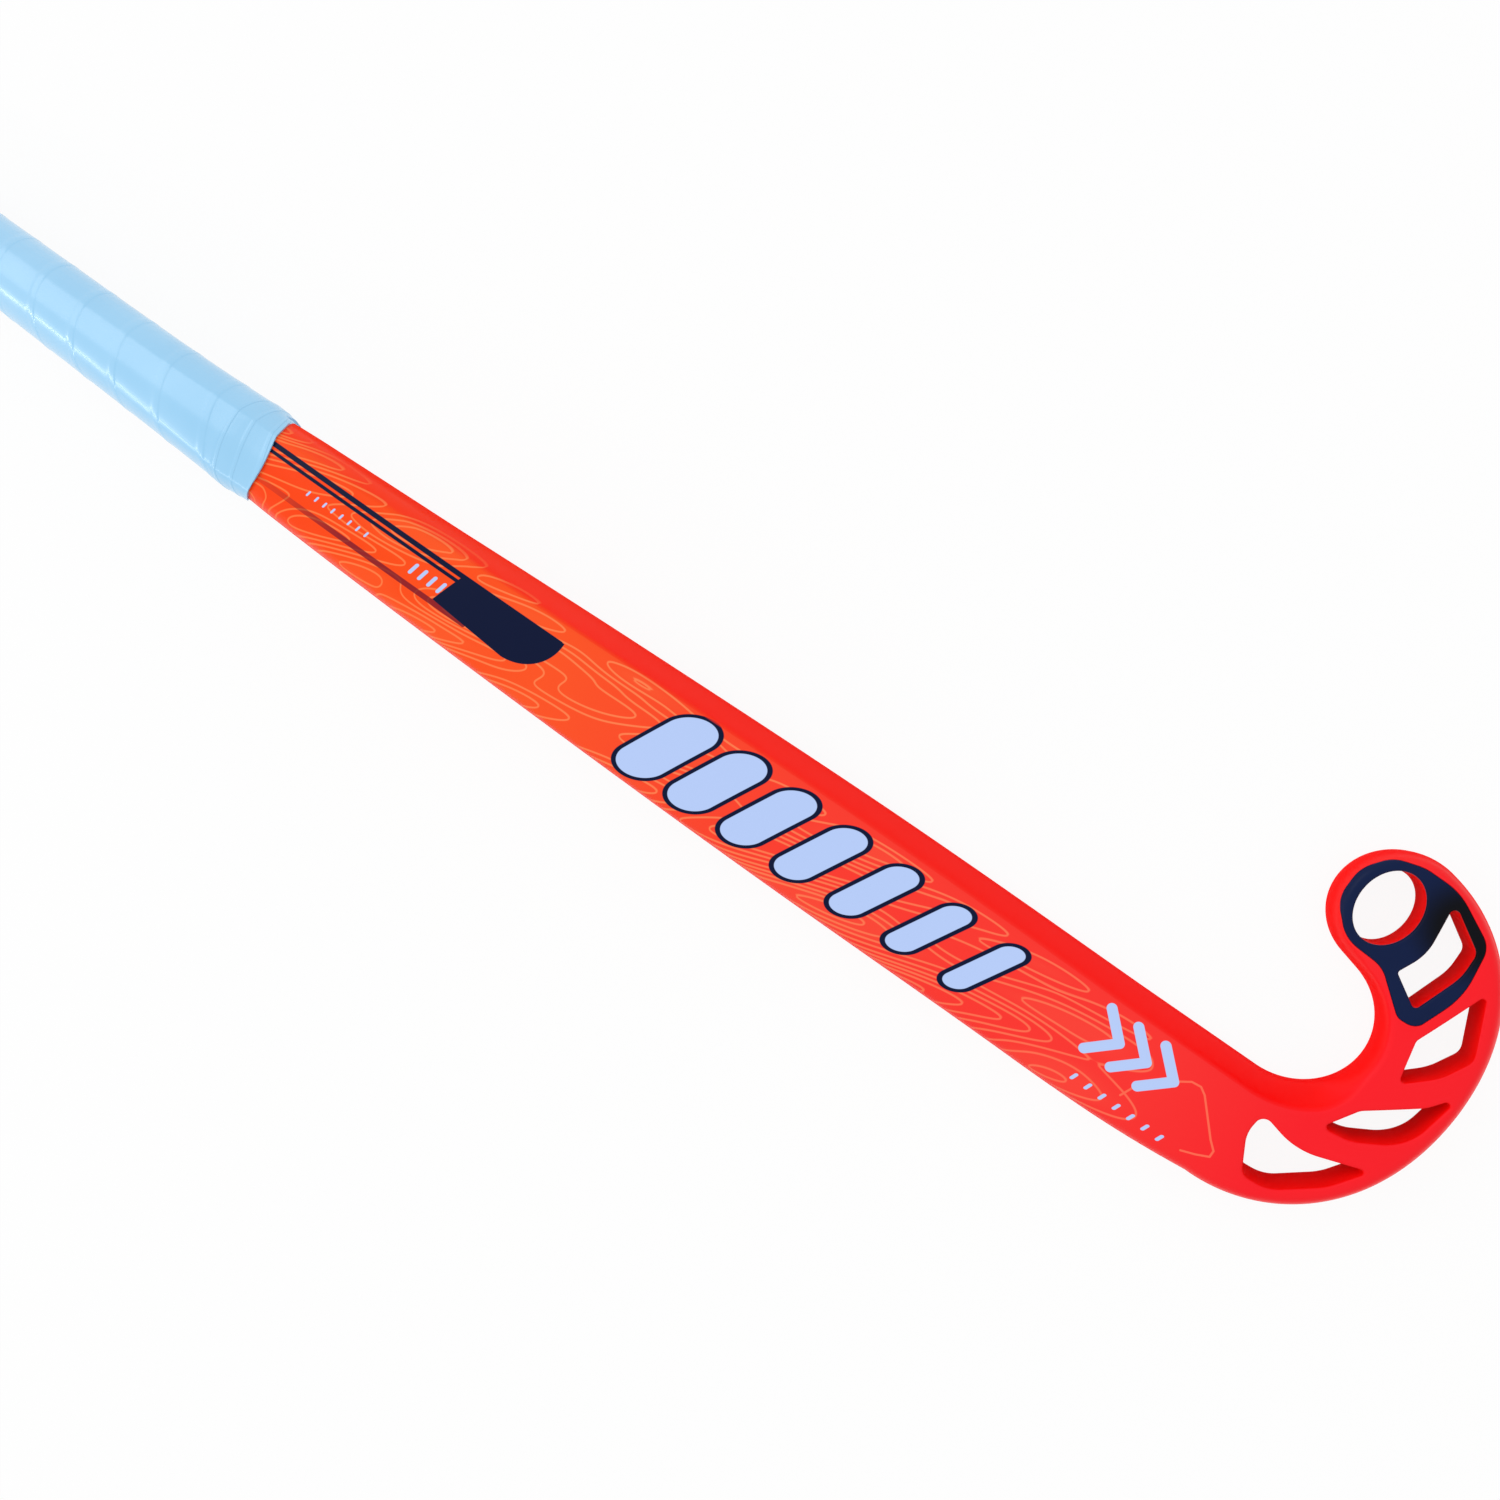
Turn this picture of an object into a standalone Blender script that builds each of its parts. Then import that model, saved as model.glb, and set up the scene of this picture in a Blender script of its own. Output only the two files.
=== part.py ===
"""Beach hockey stick: a bowed hollow moulding with an open hooked head, its grip and what it holds inside.

The stick lies on its flat playing face. +X runs from the butt to the heel, +Y to the toe, +Z out of the
rounded back. Sizes are in metres. Stations along the stick are measured from the butt end face, and the
head is drawn round the middle of its crotch, the inner bend of the hook.
"""

import bisect
import math

import bmesh
import bpy
from mathutils import Matrix, Vector

# Overall sizes of the stick
STICK_LENGTH = 0.926
BOW = 0.022
BOW_END = 0.800
BOW_PEAK = 0.45
BOW_SHARPNESS = 1.8
WALL = 0.0030
CLEARANCE = 0.0003

# Shaft sections: station, then width or thickness there
SHAFT_WIDTH = (
    (0.0, 0.0308),
    (0.20, 0.0325),
    (0.335, 0.0341),
    (0.390, 0.0364),
    (0.432, 0.0400),
    (0.55, 0.0448),
    (0.70, 0.0492),
    (0.826, 0.0474),
)
SHAFT_THICKNESS = (
    (0.0, 0.0285),
    (0.20, 0.0275),
    (0.405, 0.0250),
    (0.55, 0.0235),
    (0.70, 0.0225),
    (0.826, 0.0210),
)
OVAL_UNTIL = 0.24
FLAT_FROM = 0.60
FACE_ROUND = 0.0025
BACK_CROWN = 0.0016
EDGE_WALL = 0.0070
RIM_ROUND = 0.0050
FACET = 0.0068
FACET_AT_TOE = 0.0035

# Head: the crotch circle, the toe's nose circle and the reach of the outer rim
HEAD_THICKNESS = 0.0200
CROTCH_RADIUS = 0.02375
RIM_REACH = 0.0550
NOSE_RADIUS = 0.02115
NOSE_SET_X = 0.0063
NOSE_SET_Y = 0.04505
HEEL_RISE_LENGTH = 0.070
HEEL_RISE_SHARPNESS = 2.5
FACET_FADE_START = math.radians(-50)
FACET_FADE_TURN = math.radians(45)

# Toe inlay
INLAY_FLOOR = 0.0175

# Grip and butt
GRIP_LENGTH = 0.419
UNDERLAY_THICKNESS = 0.0012
UNDERLAY_SHORT = 0.010
UNDERLAY_THIN = 0.0004
WRAP_THICKNESS = 0.0011
WRAP_PITCH = 0.0315
WRAP_LAP = 0.0005
TAPE_LENGTH = 0.021
TAPE_THICKNESS = 0.0006
TAPE_STEPS = (0.0, 0.30, 0.65, 1.0)
CAP_DISC = 0.0040
CAP_OVERHANG = 0.0006
CAP_EDGE = 0.0008
SKIRT_LENGTH = 0.0100
SKIRT_THICKNESS = 0.0012
PEG_RADIUS = 0.0050
PEG_LENGTH = 0.0120

# What the moulding holds
PLUG_LENGTH = 0.022
INSERT_LENGTH = 0.125
RIB_END = 0.600
RIB_THICKNESS = 0.0022
BORE_SHORT = 0.004

# Section drawing: steps across a rounded or faceted edge, from the wall (0) to the back (1)
EDGE_STEPS = (0.0, 0.08, 0.30, 0.60, 1.0)
FACE_STEPS = (0.0, 0.29, 1.0)
STATION_STEP = 0.020
CROTCH_STATIONS = 18
ARM_STATIONS = 3
NOSE_SPOKES = 10
LAP_PHASES = (0.0, 0.5, 0.96)
ARC_STEP = math.radians(24)
MOST_CORNER_SHARE = 0.48
SHARP_ANGLE = math.radians(35)
OVAL_SIDES = 28
PEG_SIDES = 24
BELOW = -0.004
ABOVE = 0.030
MERGE = 1e-6

CROTCH = Vector((STICK_LENGTH - RIM_REACH, SHAFT_WIDTH[-1][1] / 2 + CROTCH_RADIUS))
NOSE = CROTCH + Vector((NOSE_SET_X, NOSE_SET_Y))
SHELL_START = CAP_DISC + CLEARANCE
BORE_END = CROTCH.x - BORE_SHORT
UNDERLAY_TOP = CLEARANCE + UNDERLAY_THICKNESS
WRAP_TOP = UNDERLAY_TOP + CLEARANCE + WRAP_THICKNESS
CAP_TOP = WRAP_TOP + WRAP_LAP + CAP_OVERHANG
WRAP_END = GRIP_LENGTH - TAPE_LENGTH
UNDERLAY_END = GRIP_LENGTH - UNDERLAY_SHORT
INSERT_START = SHELL_START + PLUG_LENGTH + CLEARANCE
RIB_START = INSERT_START + INSERT_LENGTH + CLEARANCE
CORE_START = RIB_END + CLEARANCE

# Sand openings round the crotch centre. The first is an oval: x, y, half its width and half its height.
# The others and the inlay are drawn by their corners: x, y and the radius of the corner.
OPENING_1 = (0.0013, 0.0449, 0.0095, 0.0130)
OPENING_2 = (
    (0.0158, 0.0573, 0.0016),
    (0.0294, 0.0474, 0.0040),
    (0.0298, 0.0385, 0.0200),
    (0.0248, 0.0217, 0.0012),
    (0.0144, 0.0290, 0.0012),
    (0.0181, 0.0386, 0.0200),
)
OPENING_3 = (
    (0.0386, 0.0384, 0.0010),
    (0.0471, 0.0183, 0.0050),
    (0.0424, 0.0081, 0.0200),
    (0.0339, -0.0009, 0.0012),
    (0.0306, 0.0139, 0.0030),
)
OPENING_4 = (
    (0.0240, -0.0264, 0.0012),
    (0.0330, -0.0249, 0.0140),
    (0.0469, -0.0159, 0.0180),
    (0.0502, 0.0062, 0.0010),
    (0.0446, -0.0022, 0.0120),
    (0.0302, -0.0149, 0.0060),
)
OPENING_5 = (
    (0.0081, -0.0339, 0.0030),
    (0.0220, -0.0376, 0.0300),
    (0.0431, -0.0295, 0.0010),
    (0.0358, -0.0418, 0.0220),
    (0.0226, -0.0540, 0.0140),
    (0.0138, -0.0549, 0.0035),
    (0.0074, -0.0424, 0.0120),
)
INLAY_OUTLINE = (
    (0.0028, 0.0616, 0.0140),
    (0.0150, 0.0608, 0.0200),
    (0.0308, 0.0510, 0.0080),
    (0.0334, 0.0335, 0.0300),
    (0.0282, 0.0170, 0.0040),
    (0.0224, 0.0167, 0.0040),
    (0.0100, 0.0278, 0.0100),
    (-0.0036, 0.0291, 0.0120),
    (-0.0126, 0.0390, 0.0120),
    (-0.0125, 0.0510, 0.0120),
    (-0.0064, 0.0592, 0.0100),
)


def clear_scene():
    for obj in list(bpy.data.objects):
        bpy.data.objects.remove(obj, do_unlink=True)


def finish(name, colour, roughness, metallic=0.0):
    """A Principled material with one colour."""
    material = bpy.data.materials.new(name)
    material.use_nodes = True
    shader = material.node_tree.nodes["Principled BSDF"]
    shader.inputs["Base Color"].default_value = (*colour, 1.0)
    shader.inputs["Roughness"].default_value = roughness
    shader.inputs["Metallic"].default_value = metallic
    return material


def clamp01(value):
    return min(max(value, 0.0), 1.0)


def ease(t):
    t = clamp01(t)
    return t * t * (3 - 2 * t)


def mix(a, b, t):
    return a + (b - a) * t


def along(table, x):
    """A smooth value through the (station, value) pairs of a table, level beyond its ends."""
    stations = [row[0] for row in table]
    values = [row[1] for row in table]
    if x <= stations[0]:
        return values[0]
    if x >= stations[-1]:
        return values[-1]
    i = bisect.bisect_right(stations, x) - 1
    step = stations[i + 1] - stations[i]
    t = (x - stations[i]) / step

    def slope(k):
        low = max(k - 1, 0)
        high = min(k + 1, len(table) - 1)
        return (values[high] - values[low]) / (stations[high] - stations[low])

    rise = mix(values[i], values[i + 1], ease(t))
    start_pull = slope(i) * step * t * (1 - t) ** 2
    end_pull = slope(i + 1) * step * t * t * (1 - t)
    return rise + start_pull - end_pull


# Shape of the sections


def edge_curve(t, facet_share):
    """Height across an edge, from a quarter round (0) to a straight facet (1)."""
    quarter_round = math.sqrt(max(1 - (1 - t) ** 2, 0.0))
    return mix(quarter_round, t, facet_share)


def section(width, thickness, facet, facet_share):
    """Points (across, up) of a closed section, from the toe edge over the back and along the face."""
    middle = width / 2

    def back(across):
        return thickness - BACK_CROWN * ((across - middle) / middle) ** 2

    def edge(span, share):
        points = []
        for t in EDGE_STEPS:
            height = EDGE_WALL + (back(span) - EDGE_WALL) * edge_curve(t, share)
            points.append((span * t, height))
        inner = (span + middle) / 2
        points.append((inner, back(inner)))
        return points

    def face(span):
        return [(span * t, span * (1 - edge_curve(t, 0.0))) for t in FACE_STEPS]

    toe_side = edge(facet, facet_share)
    heel_side = [(width - across, up) for across, up in edge(RIM_ROUND, 0.0)]
    face_toe = face(FACE_ROUND)
    face_heel = [(width - across, up) for across, up in face_toe]
    over_back = toe_side + [(middle, thickness)] + heel_side[::-1]
    under_face = face_heel + [(middle, 0.0)] + face_toe[::-1]
    return over_back + under_face


TOP_MIDDLE = len(EDGE_STEPS) + 1
FACE_MIDDLE = 2 * TOP_MIDDLE + 1 + len(FACE_STEPS)
RING_SIZE = FACE_MIDDLE + len(FACE_STEPS) + 1


def rounded(points, width, thickness, share):
    """The same section drawn towards an oval by a share from 0 to 1."""
    drawn = []
    for across, up in points:
        p = (across - width / 2) / (width / 2)
        q = (up - thickness / 2) / (thickness / 2)
        reach = math.hypot(p, q)
        p = mix(p, p / reach, share)
        q = mix(q, q / reach, share)
        drawn.append((width / 2 * (1 + p), thickness / 2 * (1 + q)))
    return drawn


# The shaft


def bow_height(x):
    """How far the shaft stands off the ground that the head and the butt lie on."""
    t = clamp01((BOW_END - x) / BOW_END)
    rise = (t / BOW_PEAK) ** BOW_SHARPNESS
    fall = ((1 - t) / (1 - BOW_PEAK)) ** (BOW_SHARPNESS * (1 - BOW_PEAK) / BOW_PEAK)
    return BOW * rise * fall + CAP_TOP * t * t


def heel_edge(x):
    """The shaft's heel edge, which turns up to meet the outer rim of the head."""
    rise_start = CROTCH.x - HEEL_RISE_LENGTH
    t = clamp01((x - rise_start) / HEEL_RISE_LENGTH)
    low = -along(SHAFT_WIDTH, x) / 2
    return mix(low, CROTCH.y - rim_reach(-math.pi / 2), t**HEEL_RISE_SHARPNESS)


def shaft_thickness(x):
    """The table's thickness, which runs on to that of the head past the table's last station."""
    last_station = SHAFT_THICKNESS[-1][0]
    share = ease((x - last_station) / (CROTCH.x - last_station))
    return mix(along(SHAFT_THICKNESS, x), HEAD_THICKNESS, share)


def stations(start, end):
    """Stations from start to end, on the steps that all pieces share, so that their faces stay parallel."""
    first = math.floor(start / STATION_STEP) + 1
    last = math.ceil(end / STATION_STEP)
    return [start] + [STATION_STEP * i for i in range(first, last)] + [end]


def shaft_ring(x, outset=0.0):
    """The shaft's section at a station, grown by outset, or shrunk where it is negative."""
    toe = along(SHAFT_WIDTH, x) / 2
    heel = heel_edge(x)
    width = toe - heel
    thickness = shaft_thickness(x)
    oval_share = 1 - ease((x - OVAL_UNTIL) / (FLAT_FROM - OVAL_UNTIL))
    points = rounded(section(width, thickness, FACET, 1.0), width, thickness, oval_share)
    widen = (width + 2 * outset) / width
    thicken = (thickness + 2 * outset) / thickness
    ring = []
    for across, up in points:
        y = toe - width / 2 - (across - width / 2) * widen
        z = thickness / 2 + (up - thickness / 2) * thicken
        ring.append(Vector((x, y, z + bow_height(x))))
    return ring


# The head


def contact_angle():
    """Direction, from the crotch centre, in which the arm's inner edge leaves the crotch circle."""
    between = NOSE - CROTCH
    reach = clamp01((CROTCH_RADIUS + NOSE_RADIUS) / between.length)
    return math.atan2(between.y, between.x) - math.acos(reach)


def polar(centre, radius, angle):
    return centre + radius * Vector((math.cos(angle), math.sin(angle)))


CONTACT = contact_angle()
RIM_END = polar(NOSE, NOSE_RADIUS, CONTACT)
RIM_END_ANGLE = math.atan2(RIM_END.y - CROTCH.y, RIM_END.x - CROTCH.x)
RIM_GROWTH = ((RIM_END - CROTCH).length - RIM_REACH) / math.sin(RIM_END_ANGLE) ** 2


def rim_reach(angle):
    """Distance from the crotch centre to the outer rim, an oval that is longest above and below."""
    return RIM_REACH + RIM_GROWTH * math.sin(angle) ** 2


def head_ring(inner, outer, facet, facet_share):
    across_way = (outer - inner).normalized()
    width = (outer - inner).length
    ring = []
    for across, up in section(width, HEAD_THICKNESS, facet, facet_share):
        spot = inner + across_way * across
        ring.append(Vector((spot.x, spot.y, up)))
    return ring


def facet_at(angle):
    """The facet's width and how straight it is, which fade as the hook turns up to the toe."""
    fade = ease((angle - FACET_FADE_START) / FACET_FADE_TURN)
    return mix(FACET, FACET_AT_TOE, fade), 1 - fade


def crotch_rings():
    rings = []
    for i in range(1, CROTCH_STATIONS + 1):
        angle = mix(-math.pi / 2, CONTACT, i / CROTCH_STATIONS)
        inner = polar(CROTCH, CROTCH_RADIUS, angle)
        outer = polar(CROTCH, rim_reach(angle), angle)
        rings.append(head_ring(inner, outer, *facet_at(angle)))
    return rings


def arm_rings():
    """Sections from the end of the crotch arc to the one across the middle of the nose."""
    start = polar(CROTCH, CROTCH_RADIUS, CONTACT)
    end = polar(NOSE, -NOSE_RADIUS, CONTACT)
    rings = []
    for i in range(1, ARM_STATIONS + 1):
        t = i / ARM_STATIONS
        angle = mix(CONTACT, RIM_END_ANGLE, t)
        outer = polar(CROTCH, rim_reach(angle), angle)
        facet = mix(FACET_AT_TOE, RIM_ROUND, t)
        rings.append(head_ring(start.lerp(end, t), outer, facet, 0.0))
    return rings


def nose_spokes(last_ring):
    """Half sections turned round the nose, from the crotch side to the rim side."""
    towards_crotch = list(range(TOP_MIDDLE, -1, -1)) + list(range(RING_SIZE - 1, FACE_MIDDLE - 1, -1))
    half = [last_ring[i] for i in towards_crotch]
    spokes = []
    for j in range(1, NOSE_SPOKES):
        angle = CONTACT + math.pi - math.pi * j / NOSE_SPOKES
        spoke = []
        for point in half:
            spot = polar(NOSE, (point.xy - NOSE).length, angle)
            spoke.append(Vector((spot.x, spot.y, point.z)))
        spokes.append(spoke)
    return spokes


# Mesh building


def object_from(bm, name, material=None):
    bmesh.ops.recalc_face_normals(bm, faces=bm.faces)
    mesh = bpy.data.meshes.new(name)
    bm.to_mesh(mesh)
    bm.free()
    mesh.shade_smooth()
    mesh.set_sharp_from_angle(angle=SHARP_ANGLE)
    obj = bpy.data.objects.new(name, mesh)
    bpy.context.scene.collection.objects.link(obj)
    if material:
        mesh.materials.append(material)
    return obj


def add_loft(bm, rings):
    """Skins the rings in turn and returns their vertices, leaving both ends open."""
    rows = [[bm.verts.new(point) for point in ring] for ring in rings]
    for low, high in zip(rows, rows[1:]):
        for i in range(len(low)):
            k = (i + 1) % len(low)
            bm.faces.new((low[i], low[k], high[k], high[i]))
    return rows


def loft(name, rings, material=None):
    bm = bmesh.new()
    rows = add_loft(bm, rings)
    bm.faces.new(rows[0])
    bm.faces.new(rows[-1])
    return object_from(bm, name, material)


def stick_body(name, material=None):
    """The whole moulding's outside, closed at the butt and round the nose."""
    rings = [shaft_ring(x) for x in stations(SHELL_START, CROTCH.x)]
    rings += crotch_rings() + arm_rings()
    bm = bmesh.new()
    rows = add_loft(bm, rings)
    bm.faces.new(rows[0])
    last = rows[-1]
    strip_toe = [last[i] for i in range(TOP_MIDDLE, -1, -1)]
    strip_toe += [last[i] for i in range(RING_SIZE - 1, FACE_MIDDLE - 1, -1)]
    strip_rim = [last[i] for i in range(TOP_MIDDLE, FACE_MIDDLE + 1)]
    strips = [strip_toe]
    for spoke in nose_spokes(rings[-1]):
        inner = [bm.verts.new(point) for point in spoke[1:-1]]
        strips.append([strip_toe[0]] + inner + [strip_toe[-1]])
    strips.append(strip_rim)
    for left, right in zip(strips, strips[1:]):
        for k in range(len(left) - 1):
            corners = []
            for vert in (left[k], left[k + 1], right[k + 1], right[k]):
                if vert not in corners:
                    corners.append(vert)
            bm.faces.new(corners)
    return object_from(bm, name, material)


def rounded_corners(corners):
    """A closed outline with an arc at each corner, as points round the crotch centre."""
    points = []
    count = len(corners)
    for i, (x, y, radius) in enumerate(corners):
        here = Vector((x, y))
        before = Vector(corners[i - 1][:2]) - here
        after = Vector(corners[(i + 1) % count][:2]) - here
        half_angle = before.angle(after) / 2
        most_reach = MOST_CORNER_SHARE * min(before.length, after.length)
        reach = min(radius / math.tan(half_angle), most_reach)
        drawn_radius = reach * math.tan(half_angle)
        bisector = (before.normalized() + after.normalized()).normalized()
        middle = here + bisector * drawn_radius / math.sin(half_angle)
        start = here + before.normalized() * reach - middle
        turn = math.pi - 2 * half_angle
        turn_side = math.copysign(turn, -(before.x * after.y - before.y * after.x))
        steps = max(2, math.ceil(turn / ARC_STEP))
        for k in range(steps + 1):
            spot = Matrix.Rotation(turn_side * k / steps, 2) @ start
            points.append(CROTCH + middle + spot)
    return points


def oval(x, y, half_width, half_height, count):
    """An upright oval round a point given from the crotch centre."""
    points = []
    for i in range(count):
        angle = 2 * math.pi * i / count
        spot = Vector((x + half_width * math.cos(angle), y + half_height * math.sin(angle)))
        points.append(CROTCH + spot)
    return points


def grown(points, margin):
    """The same outline moved outwards by a margin."""
    area = 0.0
    for i, point in enumerate(points):
        area += points[i - 1].x * point.y - points[i - 1].y * point.x
    outward = math.copysign(1.0, area)
    moved = []
    for i, point in enumerate(points):
        way = (points[(i + 1) % len(points)] - points[i - 1]).normalized()
        moved.append(point + outward * margin * Vector((way.y, -way.x)))
    return moved


def prism(bm, outline, low, high):
    """A closed upright block over an outline."""
    bottom = [bm.verts.new((point.x, point.y, low)) for point in outline]
    top = [bm.verts.new((point.x, point.y, high)) for point in outline]
    bm.faces.new(bottom)
    bm.faces.new(top)
    for i in range(len(outline)):
        k = (i + 1) % len(outline)
        bm.faces.new((bottom[i], bottom[k], top[k], top[i]))


def cutter(name, outlines, low, high):
    bm = bmesh.new()
    for outline in outlines:
        prism(bm, outline, low, high)
    return hidden(object_from(bm, name))


def hidden(obj):
    obj.hide_render = True
    obj.display_type = "WIRE"
    return obj


def boolean(obj, operation, other):
    modifier = obj.modifiers.new(other.name, "BOOLEAN")
    modifier.operation = operation
    modifier.solver = "EXACT"
    modifier.object = other


# Pieces


def make_shell(openings, pocket):
    shell = stick_body("stick_shell", finish("red_lacquer", (0.90, 0.04, 0.03), 0.25))
    boolean(shell, "DIFFERENCE", hidden(loft("chamber", shaft_rings(-CAP_DISC, BORE_END, -WALL))))
    boolean(shell, "DIFFERENCE", pocket)
    boolean(shell, "DIFFERENCE", openings)
    return shell


def shaft_rings(start, end, outset):
    """Sections of the shaft's hollow, or of what fits in or over it, from one station to another."""
    return [shaft_ring(x, outset) for x in stations(start, end)]


def make_inlay(outline, openings):
    inlay = stick_body("toe_inlay", finish("navy_plate", (0.006, 0.014, 0.05), 0.3))
    boolean(inlay, "INTERSECT", cutter("inlay_block", [outline], INLAY_FLOOR, ABOVE))
    boolean(inlay, "DIFFERENCE", openings)
    return inlay


def make_fillings():
    """What lies inside the moulding, each piece a clearance smaller than the hollow."""
    fit = -WALL - CLEARANCE
    insert = loft(
        "handle_insert",
        shaft_rings(INSERT_START, INSERT_START + INSERT_LENGTH, fit),
        finish("handle_foam", (0.75, 0.68, 0.50), 0.9),
    )
    core = loft(
        "heel_core",
        shaft_rings(CORE_START, BORE_END - CLEARANCE, fit),
        finish("core_foam", (0.80, 0.74, 0.55), 0.9),
    )
    return insert, core


def chamber_height(ring, middle, across, side):
    """Height of the ring's top or bottom at a small distance from its middle, the tighter of both sides."""
    heights = []
    for neighbour in (ring[middle - 1], ring[middle + 1]):
        share = across / abs(neighbour.y - ring[middle].y)
        heights.append(mix(ring[middle].z, neighbour.z, share))
    return min(heights) if side > 0 else max(heights)


def make_rib():
    """A strip on edge that joins the back wall to the face wall along the middle of the chamber."""
    half = RIB_THICKNESS / 2
    rings = []
    for x in stations(RIB_START, RIB_END):
        ring = shaft_ring(x, -WALL - CLEARANCE)
        low = chamber_height(ring, FACE_MIDDLE, half, -1)
        high = chamber_height(ring, TOP_MIDDLE, half, 1)
        y = ring[TOP_MIDDLE].y
        corners = ((-half, low), (half, low), (half, high), (-half, high))
        rings.append([Vector((x, y + across, z)) for across, z in corners])
    return loft("shaft_rib", rings, finish("rib_laminate", (0.08, 0.08, 0.09), 0.6))


def peg(name, radius, start, end):
    """A round bar on the axis of the butt."""
    centre = (shaft_ring(0.0)[TOP_MIDDLE] + shaft_ring(0.0)[FACE_MIDDLE]) / 2
    rings = []
    for x in (start, end):
        ring = []
        for i in range(PEG_SIDES):
            angle = 2 * math.pi * i / PEG_SIDES
            across = radius * math.cos(angle)
            up = radius * math.sin(angle)
            ring.append(Vector((x, centre.y + across, centre.z + up)))
        rings.append(ring)
    return loft(name, rings)


def make_plug():
    plug = loft(
        "butt_plug",
        [shaft_ring(x, -WALL - CLEARANCE) for x in (SHELL_START, SHELL_START + PLUG_LENGTH)],
        finish("plug_plastic", (0.10, 0.10, 0.11), 0.5),
    )
    hole_end = CAP_DISC + PEG_LENGTH + CLEARANCE
    boolean(plug, "DIFFERENCE", hidden(peg("peg_hole", PEG_RADIUS + CLEARANCE, 0.0, hole_end)))
    return plug


def butt_ring(x, outset):
    """The butt's own section, drawn at another station."""
    ring = shaft_ring(0.0, outset)
    for point in ring:
        point.x = x
    return ring


def make_cap():
    """The butt cap: a disc with an eased edge, a skirt over the moulding and a peg into the plug."""
    skirt_top = CLEARANCE + SKIRT_THICKNESS
    skirt_end = CAP_DISC + SKIRT_LENGTH
    outside = [
        butt_ring(0.0, CAP_TOP - CAP_EDGE),
        butt_ring(CAP_EDGE, CAP_TOP),
        butt_ring(CAP_DISC, CAP_TOP),
        butt_ring(CAP_DISC, skirt_top),
        butt_ring(skirt_end, skirt_top),
    ]
    cap = loft("butt_cap", outside, finish("cap_rubber", (0.03, 0.03, 0.035), 0.55))
    inside = [butt_ring(x, CLEARANCE) for x in (CAP_DISC, skirt_end + CAP_EDGE)]
    boolean(cap, "DIFFERENCE", hidden(loft("cap_inside", inside)))
    boolean(cap, "UNION", hidden(peg("cap_peg", PEG_RADIUS, CAP_DISC / 2, CAP_DISC + PEG_LENGTH)))
    return cap


def tube(name, outer, inner, material):
    """A sleeve: the outer rings and the inner ones skinned, and joined at both ends."""
    bm = bmesh.new()
    rows = add_loft(bm, outer + inner[::-1])
    first, last = rows[0], rows[-1]
    for i in range(RING_SIZE):
        k = (i + 1) % RING_SIZE
        bm.faces.new((last[i], last[k], first[k], first[i]))
    return object_from(bm, name, material)


def underlay_top(x):
    """The underlay's outer height over the moulding, which thins under the finishing tape."""
    t = clamp01((x - WRAP_END) / (UNDERLAY_END - WRAP_END))
    return mix(UNDERLAY_TOP, CLEARANCE + UNDERLAY_THIN, t)


def make_underlay():
    start = CAP_DISC + SKIRT_LENGTH + CLEARANCE
    spots = stations(start, UNDERLAY_END)
    outer = [shaft_ring(x, underlay_top(x)) for x in spots]
    inner = [shaft_ring(x, CLEARANCE) for x in spots]
    return tube("grip_underlay", outer, inner, finish("cushion_foam", (0.16, 0.16, 0.17), 0.95))


def make_tape():
    """The finishing tape, which tapers from the wrap down to the bare shaft."""
    start = WRAP_END + CLEARANCE
    step = UNDERLAY_END + CLEARANCE
    spots = [start, mix(start, step, 0.5), step, step, GRIP_LENGTH]
    insides = [underlay_top(x) + CLEARANCE for x in spots[:3]] + [CLEARANCE, CLEARANCE]
    thick = WRAP_TOP + WRAP_LAP / 2
    thin = CLEARANCE + TAPE_THICKNESS
    outer = [shaft_ring(mix(start, GRIP_LENGTH, t), mix(thick, thin, t)) for t in TAPE_STEPS]
    inner = [shaft_ring(x, outset) for x, outset in zip(spots, insides)]
    return tube("finishing_tape", outer, inner, finish("tape_blue", (0.36, 0.68, 0.95), 0.4))


def ring_phases():
    """The turn, from 0 to 1, at which each point of the grip's section lies."""
    ring = shaft_ring(OVAL_UNTIL / 2)
    centre = (ring[TOP_MIDDLE] + ring[FACE_MIDDLE]) / 2
    start = math.atan2(ring[0].z - centre.z, ring[0].y - centre.y)
    phases = []
    for point in ring:
        angle = math.atan2(point.z - centre.z, point.y - centre.y) - start
        phases.append((angle / (2 * math.pi)) % 1.0)
    return phases


def lap_height(phase):
    """Each turn of tape rises over the last one, up to its edge, then drops."""
    crest = LAP_PHASES[-1]
    return WRAP_LAP * (phase / crest if phase <= crest else (1 - phase) / (1 - crest))


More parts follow.
